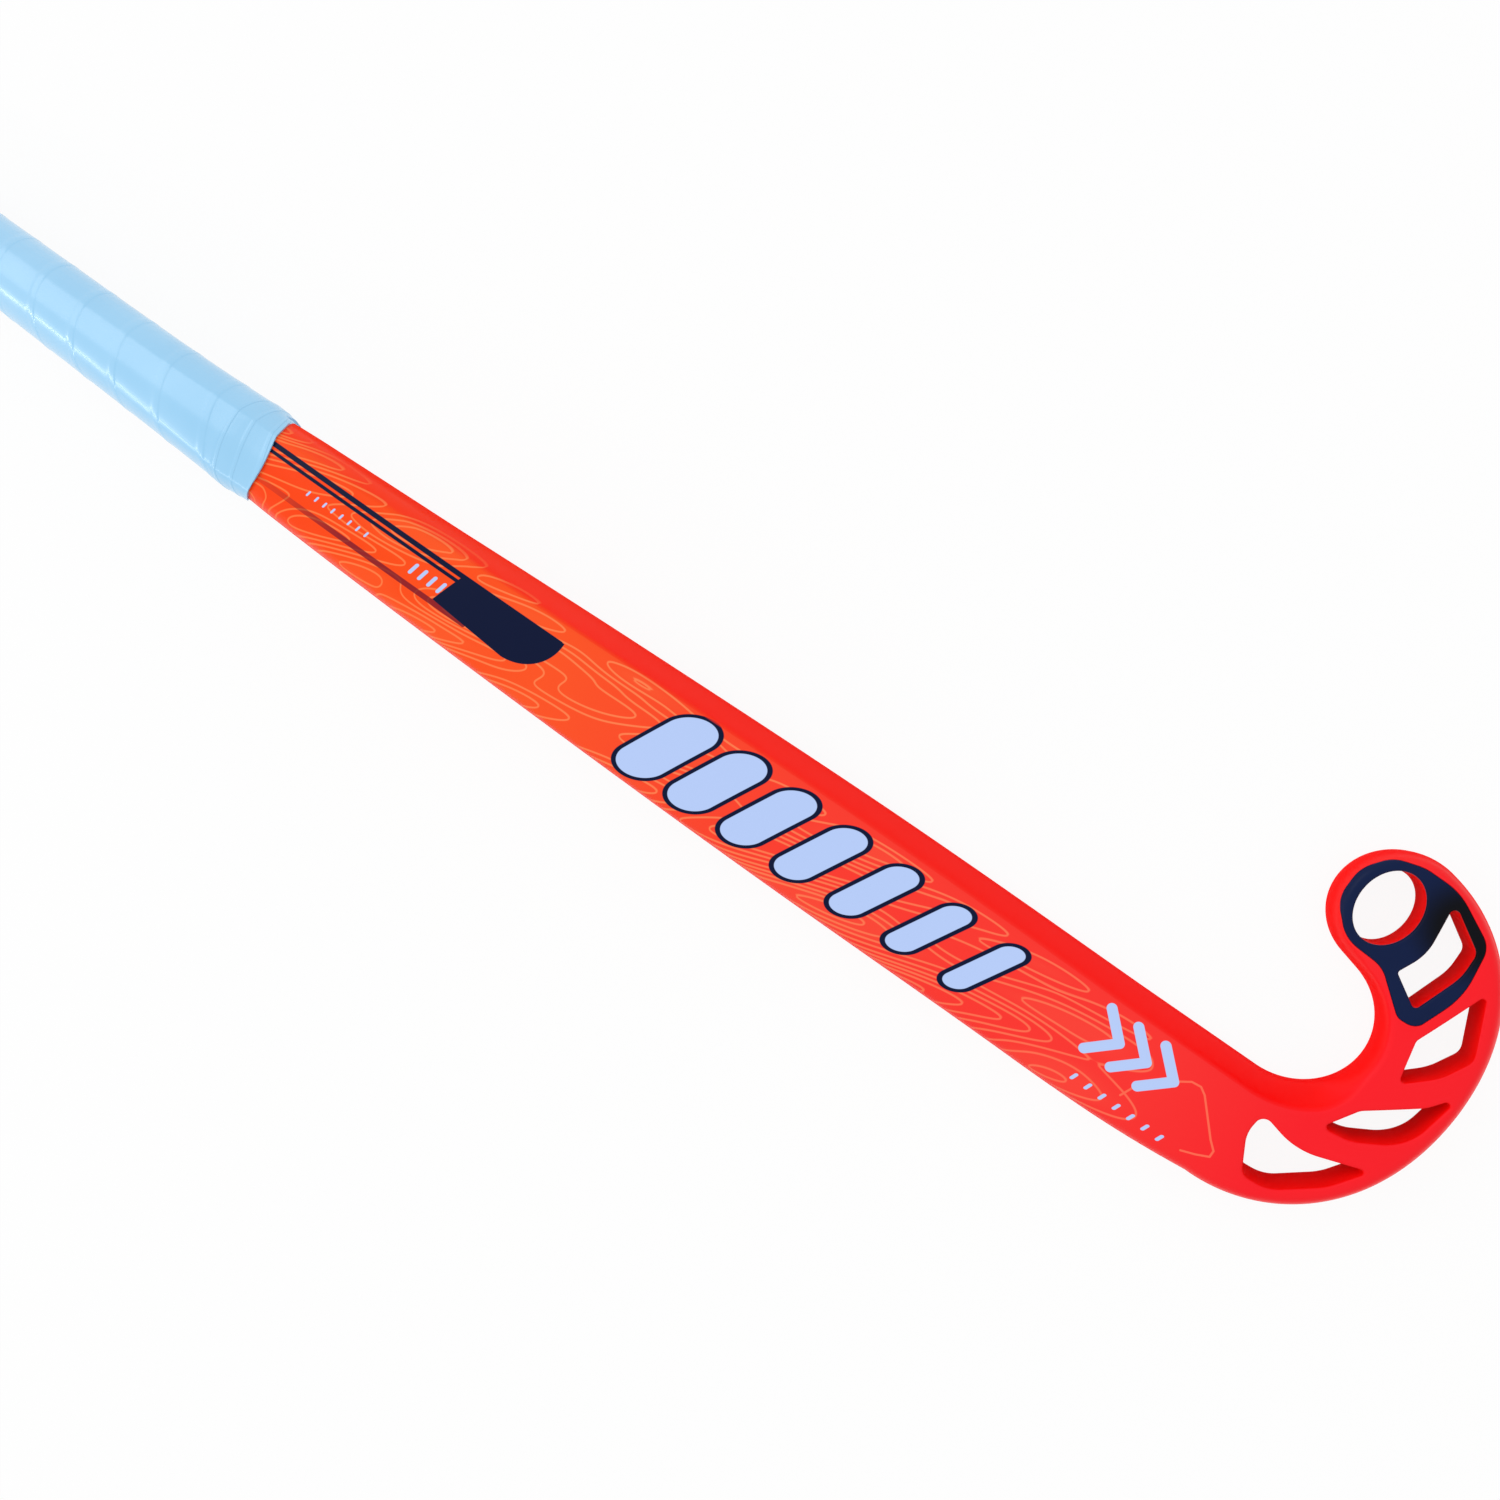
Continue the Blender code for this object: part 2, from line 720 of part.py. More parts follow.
def make_wrap():
    """The wound tape: a sleeve whose outside climbs over each lap along a helix."""
    start = SHELL_START
    inside = UNDERLAY_TOP + CLEARANCE
    outside = inside + WRAP_THICKNESS
    turns = math.ceil((WRAP_END - start) / WRAP_PITCH)
    bm = bmesh.new()
    columns = []
    for i, phase in enumerate(ring_phases()):
        column = []
        for turn in range(-1, turns + 1):
            for lap_phase in LAP_PHASES:
                x = start + WRAP_PITCH * (turn + lap_phase + phase)
                height = lap_height(lap_phase)
                if not start < x < WRAP_END:
                    x = min(max(x, start), WRAP_END)
                    height = lap_height(((x - start) / WRAP_PITCH - phase) % 1.0)
                column.append(bm.verts.new(shaft_ring(x, outside + height)[i]))
        columns.append(column)
    shift = len(LAP_PHASES)
    for i, column in enumerate(columns):
        following = columns[(i + 1) % RING_SIZE]
        offset = shift if i == RING_SIZE - 1 else 0
        padded = following + [following[-1]] * shift
        for k in range(len(column) - 1):
            corners = (column[k], column[k + 1], padded[k + 1 + offset], padded[k + offset])
            if len(set(corners)) > 2:
                bm.faces.new(dict.fromkeys(corners))
        if offset:
            for k in range(offset):
                bm.faces.new((column[0], following[k + 1], following[k]))
    rows = add_loft(bm, shaft_rings(start, WRAP_END, inside))
    for i, column in enumerate(columns):
        following = columns[(i + 1) % RING_SIZE]
        k = (i + 1) % RING_SIZE
        bm.faces.new((rows[0][i], rows[0][k], following[0], column[0]))
        bm.faces.new((rows[-1][i], rows[-1][k], following[-1], column[-1]))
    bmesh.ops.remove_doubles(bm, verts=bm.verts, dist=MERGE)
    return object_from(bm, "grip_wrap", finish("wrap_blue", (0.36, 0.68, 0.95), 0.35))


def build():
    clear_scene()
    oval_opening = oval(*OPENING_1, OVAL_SIDES)
    cornered = [rounded_corners(corners) for corners in (OPENING_2, OPENING_3, OPENING_4, OPENING_5)]
    inlay_outline = rounded_corners(INLAY_OUTLINE)
    openings = cutter("sand_openings", [oval_opening] + cornered, BELOW, ABOVE)
    pocket = cutter("inlay_pocket", [grown(inlay_outline, CLEARANCE)], INLAY_FLOOR - CLEARANCE, ABOVE)
    shell = make_shell(openings, pocket)
    make_inlay(inlay_outline, openings)
    make_fillings()
    make_rib()
    make_plug()
    make_cap()
    make_underlay()
    make_wrap()
    make_tape()
    set_on_ground(shell)


def set_on_ground(shell):
    """Hangs every piece on one empty, which puts the middle of the stick over the origin."""
    across = [vertex.co.y for vertex in shell.data.vertices]
    frame = bpy.data.objects.new("stick_frame", None)
    frame.location = (-STICK_LENGTH / 2, -(min(across) + max(across)) / 2, 0.0)
    for obj in list(bpy.context.scene.collection.objects):
        obj.parent = frame
    bpy.context.scene.collection.objects.link(frame)


build()
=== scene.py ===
# %% [markdown]
# A beach hockey stick lies on its flat playing face with its rounded back up. Its shaft is a hollow
# composite moulding with a long bow, and its head is a hook that is cut open so that sand and air pass
# through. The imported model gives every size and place. This script gives each piece its fine surface and
# its finish.

import bisect
import math

import bmesh
import bpy
import numpy as np
from mathutils import Matrix, Vector
from mathutils.geometry import delaunay_2d_cdt


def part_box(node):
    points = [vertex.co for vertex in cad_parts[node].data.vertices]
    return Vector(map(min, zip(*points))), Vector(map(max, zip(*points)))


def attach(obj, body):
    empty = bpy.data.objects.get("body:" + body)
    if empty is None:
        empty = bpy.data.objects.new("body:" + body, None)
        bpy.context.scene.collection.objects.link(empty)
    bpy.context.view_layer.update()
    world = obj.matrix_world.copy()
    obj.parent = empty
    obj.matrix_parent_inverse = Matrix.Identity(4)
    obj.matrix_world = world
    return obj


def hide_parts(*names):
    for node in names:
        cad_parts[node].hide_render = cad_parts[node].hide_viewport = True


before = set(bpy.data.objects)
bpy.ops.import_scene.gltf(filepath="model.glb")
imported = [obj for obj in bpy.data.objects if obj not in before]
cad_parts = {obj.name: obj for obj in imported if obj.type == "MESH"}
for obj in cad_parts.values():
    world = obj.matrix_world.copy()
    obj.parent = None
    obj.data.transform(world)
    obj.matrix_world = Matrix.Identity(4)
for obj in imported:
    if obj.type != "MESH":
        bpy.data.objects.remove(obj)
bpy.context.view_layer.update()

# %% [markdown]
# Every shape below is drawn from the middle of the butt's end face, with x along the stick. The butt
# cap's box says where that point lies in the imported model, so one move at the end puts each piece in its
# place.

# %% The point from which the shapes are drawn
cap_low, cap_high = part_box("butt_cap")
BUTT = Vector((cap_low.x, (cap_low.y + cap_high.y) / 2, 0.0))
print("butt at", [round(1000 * value, 2) for value in BUTT])

# %% [markdown]
# The camera looks down on the back of the stick from under half a metre, rolled so that the stick runs
# across the picture from the upper left. A far camera with a long lens would show all of the stick at one
# scale. Here the shaft narrows with distance and the walls of the openings lean outwards, so the camera
# is near, and its place and lens were worked out from those two.

# %% Camera
CAMERA_PLACE = (0.33090, 0.03661, 0.45443)
CAMERA_TURN = (2.4032, 18.6694, 34.2149)
CAMERA_LENS = 28.8
CAMERA_SENSOR = 36.0

camera_data = bpy.data.cameras.new("camera")
camera_data.lens = CAMERA_LENS
camera_data.sensor_width = CAMERA_SENSOR
camera_data.clip_start = 0.01
camera = bpy.data.objects.new("camera", camera_data)
camera.location = CAMERA_PLACE
camera.rotation_euler = [math.radians(angle) for angle in CAMERA_TURN]
bpy.context.scene.collection.objects.link(camera)
bpy.context.scene.camera = camera
print("camera", round(1000 * camera.location.z), "mm over the floor, lens", CAMERA_LENS, "mm")

# %% [markdown]
# Node trees are long to write by hand. Two helpers keep them readable: one adds any node and fills its
# inputs with numbers or links, and one does a sum or a product and hands back its result.

# %% Node helpers


def add(tree, kind, inputs=None, **settings):
    """Adds a node, sets its options and fills its inputs with numbers or with links."""
    made = tree.nodes.new(kind)
    for name, value in settings.items():
        setattr(made, name, value)
    for key, value in (inputs or {}).items():
        if isinstance(value, bpy.types.NodeSocket):
            tree.links.new(value, made.inputs[key])
        else:
            made.inputs[key].default_value = value
    return made


def calc(tree, operation, *values, clamp=False):
    """A Math node's result."""
    kind = "ShaderNodeMath"
    return add(tree, kind, dict(enumerate(values)), operation=operation, use_clamp=clamp).outputs[0]


def ramp(tree, value, low, high, to_low=0.0, to_high=1.0):
    """Moves a value smoothly from one range to another, level beyond its ends."""
    inputs = {"Value": value, "From Min": low, "From Max": high, "To Min": to_low, "To Max": to_high}
    return add(tree, "ShaderNodeMapRange", inputs, interpolation_type="SMOOTHSTEP").outputs["Result"]


def blend_colour(tree, share, first, second):
    """Mixes two colours, each a socket or a written colour."""
    made = tree.nodes.new("ShaderNodeMix")
    made.data_type = "RGBA"
    for index, value in ((0, share), (6, first), (7, second)):
        if isinstance(value, bpy.types.NodeSocket):
            tree.links.new(value, made.inputs[index])
        elif index:
            made.inputs[index].default_value = colour(value)
        else:
            made.inputs[index].default_value = value
    return made.outputs[2]


def colour(value):
    """A colour written as red, green and blue from 0 to 255, as the linear values that Blender works in."""
    linear = []
    for part in value[:3]:
        share = part / 255
        linear.append(share / 12.92 if share <= 0.04045 else ((share + 0.055) / 1.055) ** 2.4)
    return (*linear, 1.0)


print("half grey, 128 of 255, is", round(colour((128, 128, 128))[0], 3), "in linear light")

# %% [markdown]
# The studio is a white floor, a white world and two lamps at a plain level, at which a colour renders
# about as it is written. A brighter lamp could make the background white, but it would bleach the colours
# too. Light Path says which rays come from the camera, a reflection or a clear material, and those see
# the floor mostly as plain white. A little of its own shading stays in, which keeps a faint shadow under
# the stick.

# %% Studio
FLOOR_SIZE = 6.0
FLOOR_WHITE = 0.88
FLOOR_PLAIN_SHARE = 0.92
WORLD_STRENGTH = 0.90
WHITE = (1.0, 1.0, 1.0, 1.0)

floor_material = bpy.data.materials.new("studio_floor")
floor_material.use_nodes = True
floor_tree = floor_material.node_tree
floor_tree.nodes.clear()
floor_rays = add(floor_tree, "ShaderNodeLightPath").outputs
seen = calc(floor_tree, "MAXIMUM", floor_rays["Is Camera Ray"], floor_rays["Is Transmission Ray"])
seen = calc(floor_tree, "MAXIMUM", seen, floor_rays["Is Glossy Ray"])
plain_share = calc(floor_tree, "MULTIPLY", seen, FLOOR_PLAIN_SHARE)
floor_diffuse = add(floor_tree, "ShaderNodeBsdfDiffuse", {"Color": (FLOOR_WHITE,) * 3 + (1.0,)})
floor_plain = add(floor_tree, "ShaderNodeEmission", {"Color": WHITE, "Strength": 1.0})
floor_mix = add(floor_tree, "ShaderNodeMixShader",
                {0: plain_share, 1: floor_diffuse.outputs[0], 2: floor_plain.outputs[0]})
add(floor_tree, "ShaderNodeOutputMaterial", {0: floor_mix.outputs[0]})

floor_mesh = bpy.data.meshes.new("floor")
half_floor = FLOOR_SIZE / 2
floor_sides = ((-1, -1), (1, -1), (1, 1), (-1, 1))
floor_mesh.from_pydata([(x * half_floor, y * half_floor, 0.0) for x, y in floor_sides], [], [(0, 1, 2, 3)])
floor_mesh.materials.append(floor_material)
floor = bpy.data.objects.new("floor", floor_mesh)
bpy.context.scene.collection.objects.link(floor)

world = bpy.data.worlds.new("studio_air")
bpy.context.scene.world = world
world.use_nodes = True
world_tree = world.node_tree
world_tree.nodes.clear()
world_rays = add(world_tree, "ShaderNodeLightPath").outputs
world_strength = calc(world_tree, "MAXIMUM", world_rays["Is Camera Ray"], WORLD_STRENGTH)
for ray in ("Is Transmission Ray", "Is Glossy Ray"):
    world_strength = calc(world_tree, "MAXIMUM", world_strength, world_rays[ray])
world_white = add(world_tree, "ShaderNodeBackground", {"Color": WHITE, "Strength": world_strength})
add(world_tree, "ShaderNodeOutputWorld", {0: world_white.outputs[0]})
bpy.context.scene.view_settings.view_transform = "Standard"
print("floor", FLOOR_SIZE, "m across, world at", WORLD_STRENGTH)

# %% [markdown]
# Two lamps shape the stick. Small lamps would throw hard shadows into the openings, so one broad lamp
# beyond the butt and above it looks into the head and lights its inner walls. A long narrow one beside
# the grip is mirrored by the glossy tape as a thin streak.

# %% Lamps


def lamp(name, place, target, width, length, power):
    """A soft rectangular lamp that faces a point, with its long side along the stick."""
    data = bpy.data.lights.new(name, "AREA")
    data.shape = "RECTANGLE"
    data.size = length
    data.size_y = width
    data.energy = power
    obj = bpy.data.objects.new(name, data)
    forward = (Vector(target) - Vector(place)).normalized()
    side = Vector((1.0, 0.0, 0.0)).cross(-forward).normalized()
    along_stick = side.cross(-forward).normalized() * -1
    obj.matrix_world = Matrix((
        (along_stick.x, side.x, -forward.x, place[0]),
        (along_stick.y, side.y, -forward.y, place[1]),
        (along_stick.z, side.z, -forward.z, place[2]),
        (0, 0, 0, 1),
    ))
    bpy.context.scene.collection.objects.link(obj)
    print(name, power, "W,", round((Vector(target) - Vector(place)).length, 2), "m away")


lamp("broad_lamp", place=(-5.0, 0.9, 4.3), target=(0.1, 0.0, 0.0), width=3.8, length=3.8, power=65.0)
lamp("streak_lamp", place=(-0.90, -0.70, 0.45), target=(-0.25, 0.0, 0.04), width=0.04, length=0.9, power=1.3)

# %% [markdown]
# The shaft's section changes along the stick: an oval under the grip, and then a flat face, a crowned
# back, a rounded heel edge and a bevelled toe edge. A table of widths and one of thicknesses say how
# large it is, and a smooth curve runs through each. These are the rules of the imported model, drawn here
# with many more points.

# %% Sizes of the moulding
STICK_LENGTH = 0.926
BOW = 0.022
BOW_END = 0.800
BOW_PEAK = 0.45
BOW_SHARPNESS = 1.8
WALL = 0.0030
CLEARANCE = 0.0003
SHAFT_WIDTH = ((0.0, 0.0308), (0.20, 0.0325), (0.335, 0.0341), (0.390, 0.0364), (0.432, 0.0400),
               (0.55, 0.0448), (0.70, 0.0492), (0.826, 0.0474))
SHAFT_THICKNESS = ((0.0, 0.0285), (0.20, 0.0275), (0.405, 0.0250), (0.55, 0.0235), (0.70, 0.0225),
                   (0.826, 0.0210))
OVAL_UNTIL = 0.24
FLAT_FROM = 0.60
FACE_ROUND = 0.0025
BACK_CROWN = 0.0016
EDGE_WALL = 0.0070
RIM_ROUND = 0.0050
FACET = 0.0068
FACET_AT_TOE = 0.0035
FACET_STRAIGHT = 0.88
FACET_EASE = 0.0007
HEAD_THICKNESS = 0.0200
CROTCH_RADIUS = 0.02375
RIM_REACH = 0.0550
NOSE_RADIUS = 0.02115
NOSE_SET = Vector((0.0063, 0.04505))
HEEL_RISE_LENGTH = 0.070
HEEL_RISE_SHARPNESS = 2.5
FACET_FADE_START = math.radians(-50)
FACET_FADE_TURN = math.radians(45)
CAP_DISC = 0.0040
CAP_TOP = 0.0040
BORE_SHORT = 0.004
CROTCH = Vector((STICK_LENGTH - RIM_REACH, SHAFT_WIDTH[-1][1] / 2 + CROTCH_RADIUS))
NOSE = CROTCH + NOSE_SET
SHELL_START = CAP_DISC + CLEARANCE
BORE_END = CROTCH.x - BORE_SHORT
print("hook", round(2000 * CROTCH_RADIUS, 1), "mm across,", round(1000 * CROTCH.x), "mm from the butt")

# %% [markdown]
# A few small rules turn the tables into smooth values at any station: the width and thickness, the bow
# that lifts the middle of the shaft off the ground, and the heel edge that turns up into the head. A
# straight run between the rows of a table would show as kinks in the reflections.

# %% Smooth values along the stick


def clamp01(value):
    return min(max(value, 0.0), 1.0)


def mix(a, b, t):
    return a + (b - a) * t


def ease(t):
    t = clamp01(t)
    return t * t * (3 - 2 * t)


def along(table, x):
    """A smooth value through the (station, value) pairs of a table, level beyond its ends."""
    stations = [row[0] for row in table]
    values = [row[1] for row in table]
    if x <= stations[0]:
        return values[0]
    if x >= stations[-1]:
        return values[-1]
    i = bisect.bisect_right(stations, x) - 1
    step = stations[i + 1] - stations[i]
    t = (x - stations[i]) / step

    def slope(k):
        low = max(k - 1, 0)
        high = min(k + 1, len(table) - 1)
        return (values[high] - values[low]) / (stations[high] - stations[low])

    rise = mix(values[i], values[i + 1], ease(t))
    return rise + slope(i) * step * t * (1 - t) ** 2 - slope(i + 1) * step * t * t * (1 - t)


def bow_height(x):
    """How far the shaft stands off the ground that the head and the butt lie on."""
    t = clamp01((BOW_END - x) / BOW_END)
    rise = (t / BOW_PEAK) ** BOW_SHARPNESS
    fall = ((1 - t) / (1 - BOW_PEAK)) ** (BOW_SHARPNESS * (1 - BOW_PEAK) / BOW_PEAK)
    return BOW * rise * fall + CAP_TOP * t * t


def heel_edge(x):
    """The shaft's heel edge, which turns up to meet the outer rim of the head."""
    t = clamp01((x - (CROTCH.x - HEEL_RISE_LENGTH)) / HEEL_RISE_LENGTH)
    return mix(-along(SHAFT_WIDTH, x) / 2, CROTCH.y - rim_reach(-math.pi / 2), t**HEEL_RISE_SHARPNESS)


def shaft_thickness(x):
    last_station = SHAFT_THICKNESS[-1][0]
    towards_head = ease((x - last_station) / (CROTCH.x - last_station))
    return mix(along(SHAFT_THICKNESS, x), HEAD_THICKNESS, towards_head)


stations = [BOW_END * k / 100 for k in range(101)]
print("top of the bow at", round(1000 * max(stations, key=bow_height)), "mm from the butt")

# %% [markdown]
# The back is a height over each spot: a low crown, a rounded heel edge, and a bevel along the toe edge.
# Real lacquer also softens the line where the bevel meets the back, so heights near that line are
# averaged over a small reach.

# %% Height of the back
EASE_STEPS = 3


def round_rise(t):
    """Height of a quarter round, from its wall (0) to its crest (1)."""
    return math.sqrt(max(1 - (1 - t) ** 2, 0.0))


def plain_back(across, width, thickness, facet, straight):
    middle = width / 2

    def crown(spot):
        return thickness - BACK_CROWN * ((spot - middle) / middle) ** 2

    if across > width - RIM_ROUND:
        return mix(EDGE_WALL, crown(width - RIM_ROUND), round_rise((width - across) / RIM_ROUND))
    if across < facet:
        t = across / facet
        return mix(EDGE_WALL, crown(facet), mix(round_rise(t), t, straight))
    return crown(across)


def back_height(across, width, thickness, facet, straight):
    """Height of the back at a distance from the toe edge, softened where the bevel ends."""
    if abs(across - facet) >= FACET_EASE:
        return plain_back(across, width, thickness, facet, straight)
    spots = [across + FACET_EASE * k / EASE_STEPS for k in range(-EASE_STEPS, EASE_STEPS + 1)]
    heights = [plain_back(spot, width, thickness, facet, straight) for spot in spots]
    return sum(heights) / len(heights)


width_at_head, thickness_at_head = SHAFT_WIDTH[-1][1], SHAFT_THICKNESS[-1][1]
crest = back_height(width_at_head / 2, width_at_head, thickness_at_head, FACET, FACET_STRAIGHT)
print("back over the ground at the head:", round(1000 * crest, 1), "mm")

# %% [markdown]
# The section is drawn as rows of points. They lie close together where the surface turns over an edge, so
# the edge shades as a true round. Under the grip the same points are drawn out to an oval, so one set of
# points serves the whole shaft.

# %% Points across a section
EDGE_POINTS = 11
MIDDLE_POINTS = 28
WALL_POINTS = 4
FACE_EDGE_POINTS = 6
FACE_POINTS = 16
EDGE_SHARES = [(k / EDGE_POINTS) ** 2 for k in range(EDGE_POINTS + 1)]
FACE_EDGE_SHARES = [(k / FACE_EDGE_POINTS) ** 2 for k in range(FACE_EDGE_POINTS + 1)]


def columns(width, facet):
    """Distances from the toe edge at which the back is drawn."""
    toe_side = [facet * share for share in EDGE_SHARES]
    toe_side += [facet + FACET_EASE / 2, facet + FACET_EASE]
    heel_side = [width - RIM_ROUND * share for share in reversed(EDGE_SHARES)]
    gap = (heel_side[0] - toe_side[-1]) / (MIDDLE_POINTS + 1)
    return toe_side + [toe_side[-1] + gap * k for k in range(1, MIDDLE_POINTS + 1)] + heel_side


def edge_profile():
    """Steps down a side wall and under the face: distance inwards, and height."""
    drop = (EDGE_WALL - FACE_ROUND) / WALL_POINTS
    wall = [(0.0, EDGE_WALL - drop * k) for k in range(WALL_POINTS)]
    return wall + [(FACE_ROUND * t, FACE_ROUND * (1 - round_rise(t))) for t in FACE_EDGE_SHARES]


EDGE_PROFILE = edge_profile()


def fine_section(width, thickness, facet, straight):
    """Points (across, up) of a closed section, from the toe edge over the back and along the face."""
    over = [(spot, back_height(spot, width, thickness, facet, straight)) for spot in columns(width, facet)]
    heel_wall = [(width - inwards, up) for inwards, up in EDGE_PROFILE[1:]]
    gap = (width - 2 * FACE_ROUND) / (FACE_POINTS + 1)
    under = [(width - FACE_ROUND - gap * k, 0.0) for k in range(1, FACE_POINTS + 1)]
    toe_wall = [(inwards, up) for inwards, up in reversed(EDGE_PROFILE[1:])]
    return over + heel_wall + under + toe_wall


def fine_ring(x, outset=0.0):
    """The shaft's fine section at a station, grown by outset, or shrunk where it is negative."""
    toe = along(SHAFT_WIDTH, x) / 2
    width = toe - heel_edge(x)
    thickness = shaft_thickness(x)
    oval_share = 1 - ease((x - OVAL_UNTIL) / (FLAT_FROM - OVAL_UNTIL))
    ring = []
    for across, up in fine_section(width, thickness, FACET, FACET_STRAIGHT):
        p = (across - width / 2) / (width / 2)
        q = (up - thickness / 2) / (thickness / 2)
        reach = math.hypot(p, q)
        p = mix(p, p / reach, oval_share) * (width / 2 + outset)
        q = mix(q, q / reach, oval_share) * (thickness / 2 + outset)
        ring.append(Vector((x, toe - width / 2 - p, thickness / 2 + q + bow_height(x))))
    return ring


print("points down each edge:", len(EDGE_PROFILE))

# %% [markdown]
# The head follows other rules: a ring round the crotch, a short arm, and a round nose. Its outer rim is
# an oval round the crotch, and the arm and the nose meet it without a kink.

# %% Edges of the head


def polar(centre, radius, angle):
    return centre + radius * Vector((math.cos(angle), math.sin(angle)))


def contact_angle():
    """Direction, from the crotch centre, in which the arm's inner edge leaves the crotch circle."""
    between = NOSE - CROTCH
    inner_angle = math.acos(clamp01((CROTCH_RADIUS + NOSE_RADIUS) / between.length))
    return math.atan2(between.y, between.x) - inner_angle


CONTACT = contact_angle()
CONTACT_WAY = Vector((math.cos(CONTACT), math.sin(CONTACT)))
RIM_END = polar(NOSE, NOSE_RADIUS, CONTACT)
RIM_END_ANGLE = math.atan2(RIM_END.y - CROTCH.y, RIM_END.x - CROTCH.x)
RIM_GROWTH = ((RIM_END - CROTCH).length - RIM_REACH) / math.sin(RIM_END_ANGLE) ** 2
ARM_START = polar(CROTCH, CROTCH_RADIUS, CONTACT)
ARM_END = polar(NOSE, -NOSE_RADIUS, CONTACT)


def rim_reach(angle):
    """Distance from the crotch centre to the outer rim, an oval that is longest above and below."""
    return RIM_REACH + RIM_GROWTH * math.sin(angle) ** 2


print("arm leaves the crotch at", round(math.degrees(CONTACT), 1), "degrees")

# %% [markdown]
# One function says where any spot of the head lies between its inner and its outer edge, and so gives the
# height of the back there. The height could be modelled by hand, but a rule lets the lips of the openings
# find the surface wherever they run.

# %% Sections of the head
HALVINGS = 24


def shaft_station(x):
    """Inner and outer edge of the head's section, its thickness, and the bevel's width and straightness."""
    toe = along(SHAFT_WIDTH, x) / 2
    return Vector((x, toe)), Vector((x, heel_edge(x))), shaft_thickness(x), FACET, FACET_STRAIGHT


def crotch_station(angle):
    fade = ease((angle - FACET_FADE_START) / FACET_FADE_TURN)
    inner = polar(CROTCH, CROTCH_RADIUS, angle)
    outer = polar(CROTCH, rim_reach(angle), angle)
    return inner, outer, HEAD_THICKNESS, mix(FACET, FACET_AT_TOE, fade), FACET_STRAIGHT * (1 - fade)


def arm_station(t):
    angle = mix(CONTACT, RIM_END_ANGLE, t)
    outer = polar(CROTCH, rim_reach(angle), angle)
    return ARM_START.lerp(ARM_END, t), outer, HEAD_THICKNESS, mix(FACET_AT_TOE, RIM_ROUND, t), 0.0


def section_at(spot):
    """Distance from the inner edge, width, thickness, bevel width and straightness at a spot of the head."""
    from_crotch = spot - CROTCH
    if from_crotch.x <= 0 and from_crotch.y < 0:
        inner, outer, thickness, facet, straight = shaft_station(spot.x)
        return inner.y - spot.y, inner.y - outer.y, thickness, facet, straight
    angle = math.atan2(from_crotch.y, from_crotch.x)
    if -math.pi / 2 <= angle <= CONTACT:
        inner, outer, thickness, facet, straight = crotch_station(angle)
        return from_crotch.length - CROTCH_RADIUS, (outer - inner).length, thickness, facet, straight
    if CONTACT_WAY.cross(spot - NOSE) > 0:
        return NOSE_RADIUS - (spot - NOSE).length, 2 * NOSE_RADIUS, HEAD_THICKNESS, RIM_ROUND, 0.0
    low, high = 0.0, 1.0
    for _ in range(HALVINGS):
        t = (low + high) / 2
        inner, outer = arm_station(t)[:2]
        if (outer - inner).cross(spot - inner) > 0:
            low = t
        else:
            high = t
    inner, outer, thickness, facet, straight = arm_station(t)
    return (spot - inner).length, (outer - inner).length, thickness, facet, straight


def head_top(spot):
    return back_height(*section_at(spot))


print("points in one section of the shaft:", len(fine_ring(0.0)))

# %% [markdown]
# The sand openings are drawn by their corners, each with its own radius. An outline is walked round with
# an arc at each corner, and long runs get extra points, so that the rolled lip along it shades smoothly.

# %% Outlines of the openings
LIP_TOP = (0.0010, 0.0009, 0.00045, 0.0010, 0.0010)
LIP_BOTTOM = 0.0008
OPENING_1 = (0.0013, 0.0449, 0.0095, 0.0130)
OPENING_2 = ((0.0158, 0.0573, 0.0016), (0.0294, 0.0474, 0.0040), (0.0298, 0.0385, 0.0200),
             (0.0248, 0.0217, 0.0012), (0.0144, 0.0290, 0.0012), (0.0181, 0.0386, 0.0200))
OPENING_3 = ((0.0386, 0.0384, 0.0010), (0.0471, 0.0183, 0.0050), (0.0424, 0.0081, 0.0200),
             (0.0339, -0.0009, 0.0012), (0.0306, 0.0139, 0.0030))
OPENING_4 = ((0.0240, -0.0264, 0.0012), (0.0330, -0.0249, 0.0140), (0.0469, -0.0159, 0.0180),
             (0.0502, 0.0062, 0.0010), (0.0446, -0.0022, 0.0120), (0.0302, -0.0149, 0.0060))
OPENING_5 = ((0.0081, -0.0339, 0.0030), (0.0220, -0.0376, 0.0300), (0.0431, -0.0295, 0.0010),
             (0.0358, -0.0418, 0.0220), (0.0226, -0.0540, 0.0140), (0.0138, -0.0549, 0.0035),
             (0.0074, -0.0424, 0.0120))
PLATE_OUTLINE = ((0.0028, 0.0616, 0.0140), (0.0150, 0.0608, 0.0200), (0.0308, 0.0510, 0.0080),
                 (0.0334, 0.0335, 0.0300), (0.0282, 0.0170, 0.0040), (0.0224, 0.0167, 0.0040),
                 (0.0100, 0.0278, 0.0100), (-0.0036, 0.0291, 0.0120), (-0.0126, 0.0390, 0.0120),
                 (-0.0125, 0.0510, 0.0120), (-0.0064, 0.0592, 0.0100))
OUTLINE_STEP = 0.0007
LEAST_ARC_STEPS = 6
MOST_CORNER_SHARE = 0.48


